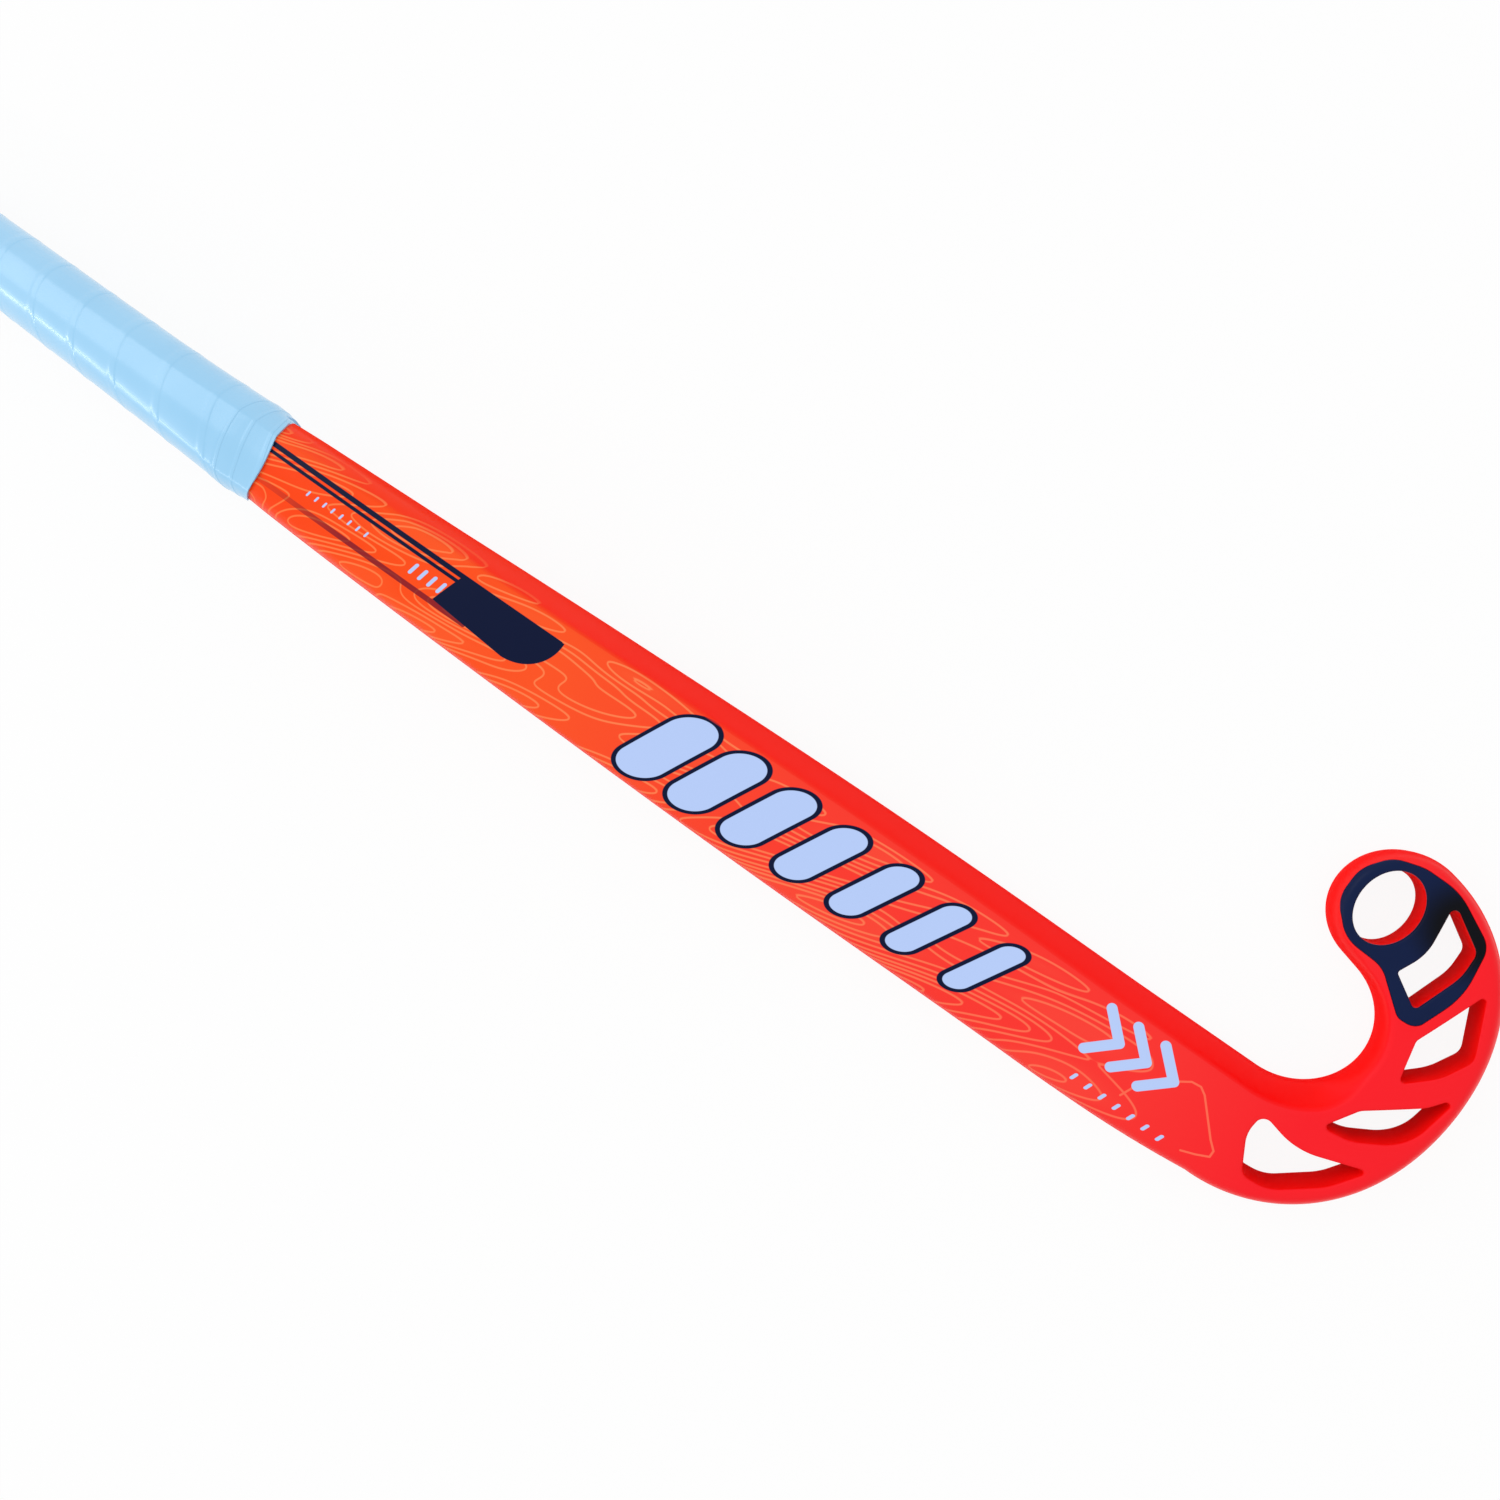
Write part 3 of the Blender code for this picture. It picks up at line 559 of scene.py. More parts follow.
def rounded_corners(corners):
    """A closed outline with an arc at each corner, with a point at least every outline step."""
    points = []
    for i, (x, y, radius) in enumerate(corners):
        here = Vector((x, y))
        before = Vector(corners[i - 1][:2]) - here
        after = Vector(corners[(i + 1) % len(corners)][:2]) - here
        half_angle = before.angle(after) / 2
        reach = min(radius / math.tan(half_angle), MOST_CORNER_SHARE * min(before.length, after.length))
        drawn_radius = reach * math.tan(half_angle)
        bisector = (before.normalized() + after.normalized()).normalized()
        middle = here + bisector * drawn_radius / math.sin(half_angle)
        start = here + before.normalized() * reach - middle
        turn = math.pi - 2 * half_angle
        turn_side = math.copysign(turn, -(before.x * after.y - before.y * after.x))
        steps = max(LEAST_ARC_STEPS, math.ceil(turn * drawn_radius / OUTLINE_STEP))
        turned = [Matrix.Rotation(turn_side * k / steps, 2) @ start for k in range(steps + 1)]
        points += [CROTCH + middle + spot for spot in turned]
    dense = []
    for point, following in zip(points, points[1:] + points[:1]):
        steps = max(1, math.ceil((following - point).length / OUTLINE_STEP))
        dense += [point.lerp(following, k / steps) for k in range(steps)]
    return dense


def oval(x, y, half_width, half_height):
    count = math.ceil(math.pi * (half_width + half_height) / OUTLINE_STEP)
    angles = [2 * math.pi * i / count for i in range(count)]
    return [CROTCH + Vector((x + half_width * math.cos(a), y + half_height * math.sin(a))) for a in angles]


def grown(points, margin):
    """The same outline moved outwards by a margin, or inwards where it is negative."""
    area = sum(points[i - 1].cross(point) for i, point in enumerate(points))
    moved = []
    for i, point in enumerate(points):
        way = (points[(i + 1) % len(points)] - points[i - 1]).normalized()
        moved.append(point + math.copysign(margin, margin * area) * Vector((way.y, -way.x)))
    return moved


openings = [oval(*OPENING_1)] + [rounded_corners(c) for c in (OPENING_2, OPENING_3, OPENING_4, OPENING_5)]
plate_outline = rounded_corners(PLATE_OUTLINE)
print("points along the openings:", [len(outline) for outline in openings])

# %% [markdown]
# A flat region with holes is hard to cover with neat rows of faces. A constrained Delaunay triangulation
# takes the loops of edge points and the loose points between them, and joins them into well shaped
# triangles. The ones that fall in a hole are then left out.

# %% Cover a region with holes
SAME_SPOT = 1e-8


def crossings(spots, loop):
    """For each spot, whether a line from it crosses the loop an odd number of times."""
    inside = np.zeros(len(spots), bool)
    for a, b in zip(loop, loop[1:] + loop[:1]):
        if a[1] == b[1]:
            continue
        level = (spots[:, 1] > a[1]) != (spots[:, 1] > b[1])
        inside ^= level & (spots[:, 0] < (b[0] - a[0]) * (spots[:, 1] - a[1]) / (b[1] - a[1]) + a[0])
    return inside


def clear_of(spots, outline, margin, within=False):
    """For each spot, whether it lies outside an outline, or within it, and further from it than a margin."""
    free = crossings(spots, [tuple(point) for point in outline]) == within
    for point in outline:
        free &= np.hypot(spots[:, 0] - point.x, spots[:, 1] - point.y) > margin
    return free


def fill(bm, loops, loose=()):
    """Covers the region between closed loops of vertices, through the loose ones too."""
    verts, edges = [], []
    for loop in loops:
        first = len(verts)
        verts += loop
        edges += [(first + i, first + (i + 1) % len(loop)) for i in range(len(loop))]
    verts += loose
    spots = np.array([tuple(vert.co.xy) for vert in verts])
    _, _, faces, origins, _, _ = delaunay_2d_cdt([vert.co.xy for vert in verts], edges, [], 0, SAME_SPOT)
    picked = np.array([[origins[i][0] for i in face] for face in faces])
    centres = spots[picked].mean(axis=1)
    inside = np.zeros(len(centres), bool)
    for loop in loops:
        inside ^= crossings(centres, [tuple(vert.co.xy) for vert in loop])
    for face in picked[inside]:
        bm.faces.new([verts[i] for i in face])


unit_square = [(0, 0), (1, 0), (1, 1), (0, 1)]
print("inside, outside:", crossings(np.array([(0.5, 0.5), (1.5, 0.5)]), unit_square))

# %% [markdown]
# Every opening has a rolled lip on the back and another on the flat face. A bevel modifier would round
# them too, but it fails where edges lie close together. Rows of points are rolled over the edge here, and
# strips of faces join one row to the next.

# %% Strips and lips
LIP_TURNS = [math.radians(angle) for angle in (90, 67, 45, 22, 0)]


def strip(bm, first, second, closed=True):
    """Joins two rows of vertices with faces."""
    faces = []
    for i in range(len(first) if closed else len(first) - 1):
        k = (i + 1) % len(first)
        faces.append(bm.faces.new((first[i], first[k], second[k], second[i])))
    return faces


def level_row(bm, outline, height):
    return [bm.verts.new((point.x, point.y, height)) for point in outline]


def top_lip(bm, outline, radius, outwards=1.0):
    """Rows that roll from the back down into a wall along an outline, the outermost row first."""
    rows = []
    for turn in LIP_TURNS:
        moved = grown(outline, outwards * radius * (1 - math.cos(turn)))
        drop = radius * (1 - math.sin(turn))
        rows.append([bm.verts.new((point.x, point.y, head_top(point) - drop)) for point in moved])
    for upper, lower in zip(rows, rows[1:]):
        strip(bm, upper, lower)
    return rows


def bottom_lip(bm, outline, radius):
    """Rows that roll from a wall out to the flat face, the innermost row first."""
    rows = []
    for turn in reversed(LIP_TURNS):
        moved = grown(outline, radius * (1 - math.cos(turn)))
        rows.append(level_row(bm, moved, radius * (1 - math.sin(turn))))
    for upper, lower in zip(rows, rows[1:]):
        strip(bm, upper, lower)
    return rows


print("rows in each lip:", len(LIP_TURNS))

# %% [markdown]
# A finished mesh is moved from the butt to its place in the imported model, its faces are turned outwards,
# and it is shaded smooth apart from true edges. A closed body has two faces at each edge, so counting the
# other edges shows at once whether a surface has a gap.

# %% Turn a mesh into a piece
MERGE = 1e-6
SHARP_ANGLE = math.radians(50)


def piece(name, bm, *materials):
    """Turns a mesh drawn from the butt into an object in its place, with its faces pointing out."""
    bmesh.ops.remove_doubles(bm, verts=bm.verts, dist=MERGE)
    bmesh.ops.recalc_face_normals(bm, faces=bm.faces)
    bmesh.ops.translate(bm, verts=bm.verts, vec=BUTT)
    open_edges = sum(1 for edge in bm.edges if len(edge.link_faces) != 2)
    mesh = bpy.data.meshes.new(name)
    bm.to_mesh(mesh)
    bm.free()
    mesh.shade_smooth()
    mesh.set_sharp_from_angle(angle=SHARP_ANGLE)
    obj = bpy.data.objects.new(name, mesh)
    bpy.context.scene.collection.objects.link(obj)
    for material in materials:
        mesh.materials.append(material)
    print(name, len(mesh.polygons), "faces,", open_edges, "open edges")
    return obj


def dress(obj, slot_name, *nodes):
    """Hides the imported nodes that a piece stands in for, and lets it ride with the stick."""
    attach(obj, "root")
    if nodes:
        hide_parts(*nodes)


print("edges stay sharp from", round(math.degrees(SHARP_ANGLE)), "degrees on")

# %% [markdown]
# The head's back is drawn through rows of points that run from its inner to its outer edge: along the
# last of the shaft, round the crotch, along the arm and round the nose. Points that lie in an opening are
# left out, because the lip's own rows take their place.

# %% Rows over the head
HEAD_START = 0.800
SHAFT_STEP = 0.004
HEAD_STEP = 0.0012
CROTCH_STEPS = 96
ARM_STEPS = 14
NOSE_STEPS = 48
PLATE_GAP = 0.0001
POCKET_LIP = 0.00018
POCKET_FLOOR = 0.0172
LOOSE_MARGIN = 0.0004


def head_stations():
    count = math.ceil((CROTCH.x - HEAD_START) / HEAD_STEP)
    stations = [shaft_station(mix(HEAD_START, CROTCH.x, i / count)) for i in range(count + 1)]
    angles = [mix(-math.pi / 2, CONTACT, i / CROTCH_STEPS) for i in range(1, CROTCH_STEPS + 1)]
    stations += [crotch_station(angle) for angle in angles]
    return stations + [arm_station(i / ARM_STEPS) for i in range(1, ARM_STEPS + 1)]


def head_rows(stations):
    """Spots of the back with their heights: a row for each station, then one for each spoke of the nose."""
    rows = []
    for inner, outer, thickness, facet, straight in stations:
        width = (outer - inner).length
        way = (outer - inner).normalized()
        row = []
        for across in columns(width, facet):
            spot = inner + way * across
            row.append((spot, back_height(across, width, thickness, facet, straight)))
        rows.append(row)
    for i in range(1, NOSE_STEPS):
        angle = CONTACT + math.pi * i / NOSE_STEPS
        row = []
        for across in columns(2 * NOSE_RADIUS, RIM_ROUND):
            if across < NOSE_RADIUS - 2 * RIM_ROUND / EDGE_POINTS:
                height = back_height(across, 2 * NOSE_RADIUS, HEAD_THICKNESS, RIM_ROUND, 0.0)
                row.append((polar(NOSE, NOSE_RADIUS - across, angle), height))
        rows.append(row)
    return rows


def rim_columns(bm, stations):
    """Vertices down the side wall and under the face, all round the head from the heel to the toe edge."""
    spots = [(outer, (inner - outer).normalized()) for inner, outer, *_ in stations]
    for i in range(1, NOSE_STEPS):
        spot = polar(NOSE, NOSE_RADIUS, CONTACT + math.pi * i / NOSE_STEPS)
        spots.append((spot, (NOSE - spot).normalized()))
    spots += [(inner, (outer - inner).normalized()) for inner, outer, *_ in reversed(stations)]
    made = []
    for spot, way in spots:
        moved = [(spot + way * inwards, up) for inwards, up in EDGE_PROFILE]
        made.append([bm.verts.new((point.x, point.y, up)) for point, up in moved])
    return made


def loose_verts(bm, rows, outlines, within=None):
    """Vertices at the spots of the rows that stay clear of each outline, and within one if it is given."""
    entries = [entry for row in rows for entry in row]
    spots = np.array([tuple(spot) for spot, _ in entries])
    free = np.ones(len(entries), bool)
    for outline, margin in outlines:
        free &= clear_of(spots, outline, margin + LOOSE_MARGIN)
    if within:
        free &= clear_of(spots, within[0], within[1] + LOOSE_MARGIN, within=True)
    return [bm.verts.new((spot.x, spot.y, up)) for (spot, up), is_free in zip(entries, free) if is_free]


print("rows over the head:", len(head_rows(head_stations())))

# %% [markdown]
# The moulding is one hollow body. Its shaft is skinned from section to section, outside and inside. The
# back of its head is covered through the rows and the lips, and the pocket for the toe plate is let into
# it. Cutting the openings with booleans would leave ragged edges that can't be rounded.

# %% The moulding's mesh


def build_shaft(bm):
    count = math.ceil((HEAD_START - SHELL_START) / SHAFT_STEP)
    shaft_x = [mix(SHELL_START, HEAD_START, i / count) for i in range(count + 1)]
    outside = [[bm.verts.new(point) for point in fine_ring(x)] for x in shaft_x]
    bore_x = [mix(SHELL_START, BORE_END, i / count) for i in range(count + 1)]
    inside = [[bm.verts.new(point) for point in fine_ring(x, -WALL)] for x in bore_x]
    for rings in (outside, inside):
        for first, second in zip(rings, rings[1:]):
            strip(bm, first, second)
    strip(bm, outside[0], inside[0])
    bm.faces.new(inside[-1])


def cover_back(bm, stations, rim, pocket):
    """The back of the head. Hands back the lips of the openings and the lip of the plate's pocket."""
    rows = head_rows(stations)
    joint = [bm.verts.new((spot.x, spot.y, up)) for spot, up in rows[0][1:-1]]
    inner_rows = [row[1:-1] for row in rows[1:len(stations)]] + [row[1:] for row in rows[len(stations):]]
    loose = loose_verts(bm, inner_rows, [(pocket, POCKET_LIP)] + list(zip(openings[2:], LIP_TOP[2:])))
    lips = [top_lip(bm, outline, lip) for outline, lip in zip(openings[2:], LIP_TOP[2:])]
    pocket_lip = top_lip(bm, pocket, POCKET_LIP)
    loops = [[column[0] for column in rim] + joint] + [rows[0] for rows in lips] + [pocket_lip[0]]
    fill(bm, loops, loose)
    return lips, pocket_lip


def build_walls(bm, lips, pocket, pocket_lip):
    """The pocket and the walls of the openings. Hands back their lips on the flat face."""
    floor_edge = level_row(bm, pocket, POCKET_FLOOR)
    strip(bm, pocket_lip[-1], floor_edge)
    floor_holes = [level_row(bm, outline, POCKET_FLOOR) for outline in openings[:2]]
    fill(bm, [floor_edge] + floor_holes)
    walls = floor_holes + [rows[-1] for rows in lips]
    face_lips = [bottom_lip(bm, outline, LIP_BOTTOM) for outline in openings]
    for wall, lip in zip(walls, face_lips):
        strip(bm, wall, lip[0])
    return face_lips


def build_moulding(bm):
    build_shaft(bm)
    stations = head_stations()
    rim = rim_columns(bm, stations)
    for first, second in zip(rim, rim[1:]):
        strip(bm, first, second, closed=False)
    pocket = grown(plate_outline, PLATE_GAP)
    lips, pocket_lip = cover_back(bm, stations, rim, pocket)
    face_lips = build_walls(bm, lips, pocket, pocket_lip)
    joint_start = rim[-1][-1].co.y
    gap = (rim[0][-1].co.y - joint_start) / (FACE_POINTS + 1)
    joint_ys = [joint_start + gap * k for k in range(1, FACE_POINTS + 1)]
    face_joint = [bm.verts.new((HEAD_START, y, 0.0)) for y in joint_ys]
    fill(bm, [[column[-1] for column in rim] + face_joint] + [rows[-1] for rows in face_lips])


print("pocket", round(1000 * (HEAD_THICKNESS - POCKET_FLOOR), 2), "mm deep")

# %% [markdown]
# The toe plate lies flush in its pocket. Its back is the same rule as the moulding's, so the two surfaces
# run on into each other across a hairline. The walls of its two openings are lacquered red like the rest.

# %% The toe plate's mesh
PLATE_LIP = 0.0003
PLATE_SEAT = 0.00003


def build_plate(bm):
    rows = head_rows(head_stations())
    floor_height = POCKET_FLOOR + PLATE_SEAT
    holes = list(zip(openings[:2], LIP_TOP[:2]))
    loose = loose_verts(bm, rows, holes, within=(plate_outline, PLATE_LIP))
    edge_rows = top_lip(bm, plate_outline, PLATE_LIP, outwards=-1.0)
    lips = [top_lip(bm, outline, lip) for outline, lip in holes]
    fill(bm, [edge_rows[0]] + [lip[0] for lip in lips], loose)
    floor_edge = level_row(bm, plate_outline, floor_height)
    strip(bm, edge_rows[-1], floor_edge)
    floor_holes = [level_row(bm, outline, floor_height) for outline, _ in holes]
    for lip, floor_hole in zip(lips, floor_holes):
        for face in strip(bm, lip[-1], floor_hole):
            face.material_index = 1
    fill(bm, [floor_edge] + floor_holes)


print("toe plate", round(1000 * (HEAD_THICKNESS - POCKET_FLOOR - PLATE_SEAT), 2), "mm thick")

# %% [markdown]
# Over the bare laminate of the handle lies a strip of foam, and it is what makes the grip soft. It thins
# out under the finishing tape. A copy of the moulding could be grown with a solidify modifier, but the
# foam changes in thickness, so it is drawn as a closed sleeve from the same sections.

# %% The cushion's mesh
GRIP_LENGTH = 0.419
UNDERLAY_THICKNESS = 0.0012
UNDERLAY_SHORT = 0.010
UNDERLAY_THIN = 0.0004
WRAP_THICKNESS = 0.0011
WRAP_PITCH = 0.0315
WRAP_LAP = 0.0005
TAPE_LENGTH = 0.021
TAPE_THICKNESS = 0.0006
SKIRT_LENGTH = 0.0100
UNDERLAY_TOP = CLEARANCE + UNDERLAY_THICKNESS
WRAP_END = GRIP_LENGTH - TAPE_LENGTH
UNDERLAY_END = GRIP_LENGTH - UNDERLAY_SHORT
GRIP_STEP = 0.003
LINING_STEP = 0.008


def even_stations(start, end, step):
    count = math.ceil((end - start) / step)
    return [mix(start, end, i / count) for i in range(count + 1)]


def underlay_top(x):
    """The cushion's outer height over the moulding, which thins under the finishing tape."""
    return mix(UNDERLAY_TOP, CLEARANCE + UNDERLAY_THIN, clamp01((x - WRAP_END) / (UNDERLAY_END - WRAP_END)))


def build_cushion(bm):
    spots = even_stations(CAP_DISC + SKIRT_LENGTH + CLEARANCE, UNDERLAY_END, GRIP_STEP)
    outside = [[bm.verts.new(point) for point in fine_ring(x, underlay_top(x))] for x in spots]
    inside = [[bm.verts.new(point) for point in fine_ring(x, CLEARANCE)] for x in spots]
    for rings in (outside, inside):
        for first, second in zip(rings, rings[1:]):
            strip(bm, first, second)
    strip(bm, outside[0], inside[0])
    strip(bm, outside[-1], inside[-1])


print("cushion ends", round(1000 * UNDERLAY_END), "mm from the butt")

# %% [markdown]
# The grip is one long tape wound round the handle, and each turn laps over the last. Geometry Nodes draw
# it. The first step rolls a flat grid into a helix: once round across, and as many turns along as the
# tape needs. Turns modelled by hand would be fixed in number, but here a pitch and a length give it, so
# the same tree winds the grip and the much finer finishing tape.

# %% Roll a grid into a helix
TAPE_SOCKETS = (
    ("Core", "Object", None), ("Axis", "Object", None), ("Start", "Float", 0.0), ("End", "Float", 0.1),
    ("Pitch", "Float", 0.03), ("Thickness", "Float", 0.001), ("Lap Rise", "Float", 0.0005),
    ("Lap Share", "Float", 0.12), ("Edge Share", "Float", 0.015), ("Ripple", "Float", 0.0001),
    ("Ripple Scale", "Float", 60.0), ("Around", "Int", 128), ("Rows per Turn", "Int", 40),
    ("Material", "Material", None),
)


def tape_tree():
    """An empty tree with the tape's inputs."""
    tree = bpy.data.node_groups.new("Wound Tape", "GeometryNodeTree")
    for name, kind, value in TAPE_SOCKETS:
        item = tree.interface.new_socket(name=name, in_out="INPUT", socket_type="NodeSocket" + kind)
        if value is not None:
            item.default_value = value
    tree.interface.new_socket(name="Geometry", in_out="OUTPUT", socket_type="NodeSocketGeometry")
    return tree


def rolled_grid(tree, given):
    """The grid, and where each point goes: its share round, its share along, its station and its phase."""
    length = calc(tree, "SUBTRACT", given["End"], given["Start"])
    # One turn more than the length needs, because the first turn starts slanted
    turns = calc(tree, "ADD", calc(tree, "CEIL", calc(tree, "DIVIDE", length, given["Pitch"])), 1.0)
    rows = calc(tree, "ADD", calc(tree, "MULTIPLY", turns, given["Rows per Turn"]), 1.0)
    across = calc(tree, "ADD", given["Around"], 1.0)
    grid = add(tree, "GeometryNodeMeshGrid",
               {"Size X": 1.0, "Size Y": 1.0, "Vertices X": across, "Vertices Y": rows})
    position = add(tree, "GeometryNodeInputPosition").outputs[0]
    place = add(tree, "ShaderNodeSeparateXYZ", {0: position}).outputs
    round_share = calc(tree, "ADD", place["X"], 0.5)
    turn = calc(tree, "MULTIPLY", calc(tree, "ADD", place["Y"], 0.5), turns)

    # Rows crowd towards the tape's edge, which then steps down sharply
    spare = calc(tree, "SUBTRACT", 1.0, calc(tree, "FRACT", turn))
    crowded = calc(tree, "SUBTRACT", 1.0, calc(tree, "MULTIPLY", spare, spare))
    wound = calc(tree, "ADD", calc(tree, "FLOOR", turn), crowded)
    wound = calc(tree, "ADD", calc(tree, "SUBTRACT", wound, 1.0), round_share)
    free_x = calc(tree, "MULTIPLY_ADD", wound, given["Pitch"], given["Start"])
    station = calc(tree, "MINIMUM", calc(tree, "MAXIMUM", free_x, given["Start"]), given["End"])
    past_start = calc(tree, "SUBTRACT", station, given["Start"])
    turns_along = calc(tree, "DIVIDE", past_start, given["Pitch"])
    phase = calc(tree, "FRACT", calc(tree, "SUBTRACT", turns_along, round_share))
    return grid, round_share, calc(tree, "DIVIDE", past_start, length), station, phase


print("inputs of the tape's tree:", len(TAPE_SOCKETS))

# %% [markdown]
# A turn climbs the turn below it gently and drops sharply at its own edge. That step is what the eye
# knows a wound grip by. A bump texture could fake it in the middle, but the grip's outline would stay
# straight.

# %% The lap of a turn
CLIMB_REACH = 1.8


def lap_lift(tree, given, phase):
    """How far the lap below lifts the tape, for how far through its turn a point lies."""
    climb_start = calc(tree, "SUBTRACT", 1.0, calc(tree, "MULTIPLY", given["Lap Share"], CLIMB_REACH))
    climb_end = calc(tree, "SUBTRACT", 1.0, given["Lap Share"])
    drop_start = calc(tree, "SUBTRACT", 1.0, given["Edge Share"])
    climb = ramp(tree, phase, climb_start, climb_end)
    drop = ramp(tree, phase, drop_start, 1.0, 1.0, 0.0)
    return calc(tree, "MULTIPLY", calc(tree, "MULTIPLY", climb, drop), given["Lap Rise"])


print("the climb is", round(CLIMB_REACH - 1, 1), "laps long")

# %% [markdown]
# Each point of the rolled grid is sent out from the handle's axis until it meets the core. It is then
# lifted by the tape's thickness, by the lap and by a slight ripple. The handle is an oval that changes
# along the stick, so a plain tube round it would sink in on two sides and stand off on the others.

# %% A tree that winds tape round a core
RAY_LENGTH = 0.1
TAPE_MERGE = 2e-5


def on_core(tree, given, round_share, share_along, station, lift):
    """The place of each point: out from the axis to the core, and up by the tape's height."""
    axis = add(tree, "GeometryNodeObjectInfo", {"Object": given["Axis"]}).outputs["Geometry"]
    core = add(tree, "GeometryNodeObjectInfo", {"Object": given["Core"]}).outputs["Geometry"]
    sample = add(tree, "GeometryNodeSampleCurve", {"Curves": axis, "Factor": share_along},
                 mode="FACTOR", use_all_curves=True)
    centre = add(tree, "ShaderNodeSeparateXYZ", {0: sample.outputs["Position"]}).outputs
    source = add(tree, "ShaderNodeCombineXYZ", {"X": station, "Y": centre["Y"], "Z": centre["Z"]}).outputs[0]
    angle = calc(tree, "MULTIPLY", round_share, 2 * math.pi)
    way = add(tree, "ShaderNodeCombineXYZ",
              {"Y": calc(tree, "COSINE", angle), "Z": calc(tree, "SINE", angle)}).outputs[0]
    ray = add(tree, "GeometryNodeRaycast",
              {"Target Geometry": core, "Source Position": source, "Ray Direction": way,
               "Ray Length": RAY_LENGTH})
    hit = ray.outputs["Hit Position"]
    noise = add(tree, "ShaderNodeTexNoise", {"Vector": hit, "Scale": given["Ripple Scale"], "Detail": 1.0})
    ripple = calc(tree, "MULTIPLY", calc(tree, "SUBTRACT", noise.outputs[0], 0.5), given["Ripple"])
    height = calc(tree, "ADD", calc(tree, "ADD", given["Thickness"], lift), ripple)
    outset = add(tree, "ShaderNodeVectorMath", {0: way, 3: height}, operation="SCALE").outputs[0]
    return add(tree, "ShaderNodeVectorMath", {0: hit, 1: outset}, operation="ADD").outputs[0]


def wound_tape_tree():
    """The whole way from a flat grid to a wound and painted tape."""
    tree = tape_tree()
    given = add(tree, "NodeGroupInput").outputs
    grid, round_share, share_along, station, phase = rolled_grid(tree, given)
    final = on_core(tree, given, round_share, share_along, station, lap_lift(tree, given, phase))
    set_place = add(tree, "GeometryNodeSetPosition", {"Geometry": grid.outputs["Mesh"], "Position": final})
    merged = add(tree, "GeometryNodeMergeByDistance",
                 {"Geometry": set_place.outputs[0], "Distance": TAPE_MERGE})
    smooth = add(tree, "GeometryNodeSetShadeSmooth", {"Geometry": merged.outputs[0]})
    real = add(tree, "GeometryNodeRealizeInstances", {"Geometry": smooth.outputs[0]})
    painted = add(tree, "GeometryNodeSetMaterial",
                  {"Geometry": real.outputs[0], "Material": given["Material"]})
    add(tree, "NodeGroupOutput", {0: painted.outputs[0]})
    return tree


WOUND_TAPE = wound_tape_tree()
print("nodes in the tape's tree:", len(WOUND_TAPE.nodes))

# %% [markdown]
# The tree needs something to wind on. A guide surface is the outside of what lies below the tape, and a
# guide curve is the middle of the handle, from which the points are sent out. The moulding itself could
# be the guide, but the tape lies on the cushion, which isn't an even distance above it.

# %% Guides to wind on


def guide_core(start, end, outset_at):
    """A smooth guide that the tape is wound on: the handle's outside, from one station to another."""
    bm = bmesh.new()
    rings = [[bm.verts.new(point) for point in fine_ring(x, outset_at(x))]
             for x in even_stations(start, end, GRIP_STEP)]
    for first, second in zip(rings, rings[1:]):
        strip(bm, first, second)
    mesh = bpy.data.meshes.new("tape_core")
    bm.to_mesh(mesh)
    bm.free()
    obj = bpy.data.objects.new("tape_core", mesh)
    bpy.context.scene.collection.objects.link(obj)
    return obj


def guide_axis(start, end):
    """A guide curve along the middle of the handle."""
    data = bpy.data.curves.new("tape_axis", "CURVE")
    data.dimensions = "3D"
    spline = data.splines.new("POLY")
    spots = even_stations(start, end, GRIP_STEP)
    spline.points.add(len(spots) - 1)
    for point, x in zip(spline.points, spots):
        point.co = (x, 0.0, bow_height(x) + shaft_thickness(x) / 2, 1.0)
    obj = bpy.data.objects.new("tape_axis", data)
    bpy.context.scene.collection.objects.link(obj)
    return obj


print("rings in the grip's guide:", len(even_stations(SHELL_START, WRAP_END, GRIP_STEP)))

# %% [markdown]
# Once the tape is wound it is made a plain mesh. Its inside is lined and joined to it at both ends, so
# that it is a closed sleeve, and the guides are thrown away. A far end that was stretched by hand can
# lean, and that is done to the points of the mesh.

# %% Wind, line and lean


def line_tape(bm, start, end, outset_at):
    """Closes wound tape into a solid sleeve: a smooth lining on the core, joined to it at both ends."""
    rims = [edge for edge in bm.edges if edge.is_boundary]
    spots = even_stations(start, end, LINING_STEP)
    rings = [[bm.verts.new(point) for point in fine_ring(x, outset_at(x))] for x in spots]
    lining = []
    for first, second in zip(rings, rings[1:]):
        lining += strip(bm, first, second)
    rims += [edge for face in lining for edge in face.edges if edge.is_boundary]
    middle = (start + end) / 2
    for at_start in (True, False):
        joined = [edge for edge in rims if (edge.verts[0].co.x < middle) == at_start]
        bmesh.ops.bridge_loops(bm, edges=joined)


def lean_end(bm, start, end, lean, slant, draw):
    """Tilts the tape's far end: on by the lean on top, back by the draw at the sides, aslant across."""
    for vert in bm.verts:
        x, y, z = vert.co
        share = clamp01((x - start) / (end - start)) ** 2
        angle = math.atan2(z - bow_height(x) - shaft_thickness(x) / 2, y)
        top = math.sqrt(max(math.sin(angle), 0.0))
        vert.co.x += share * (lean * top - draw * (1 - top) - slant * math.cos(angle))


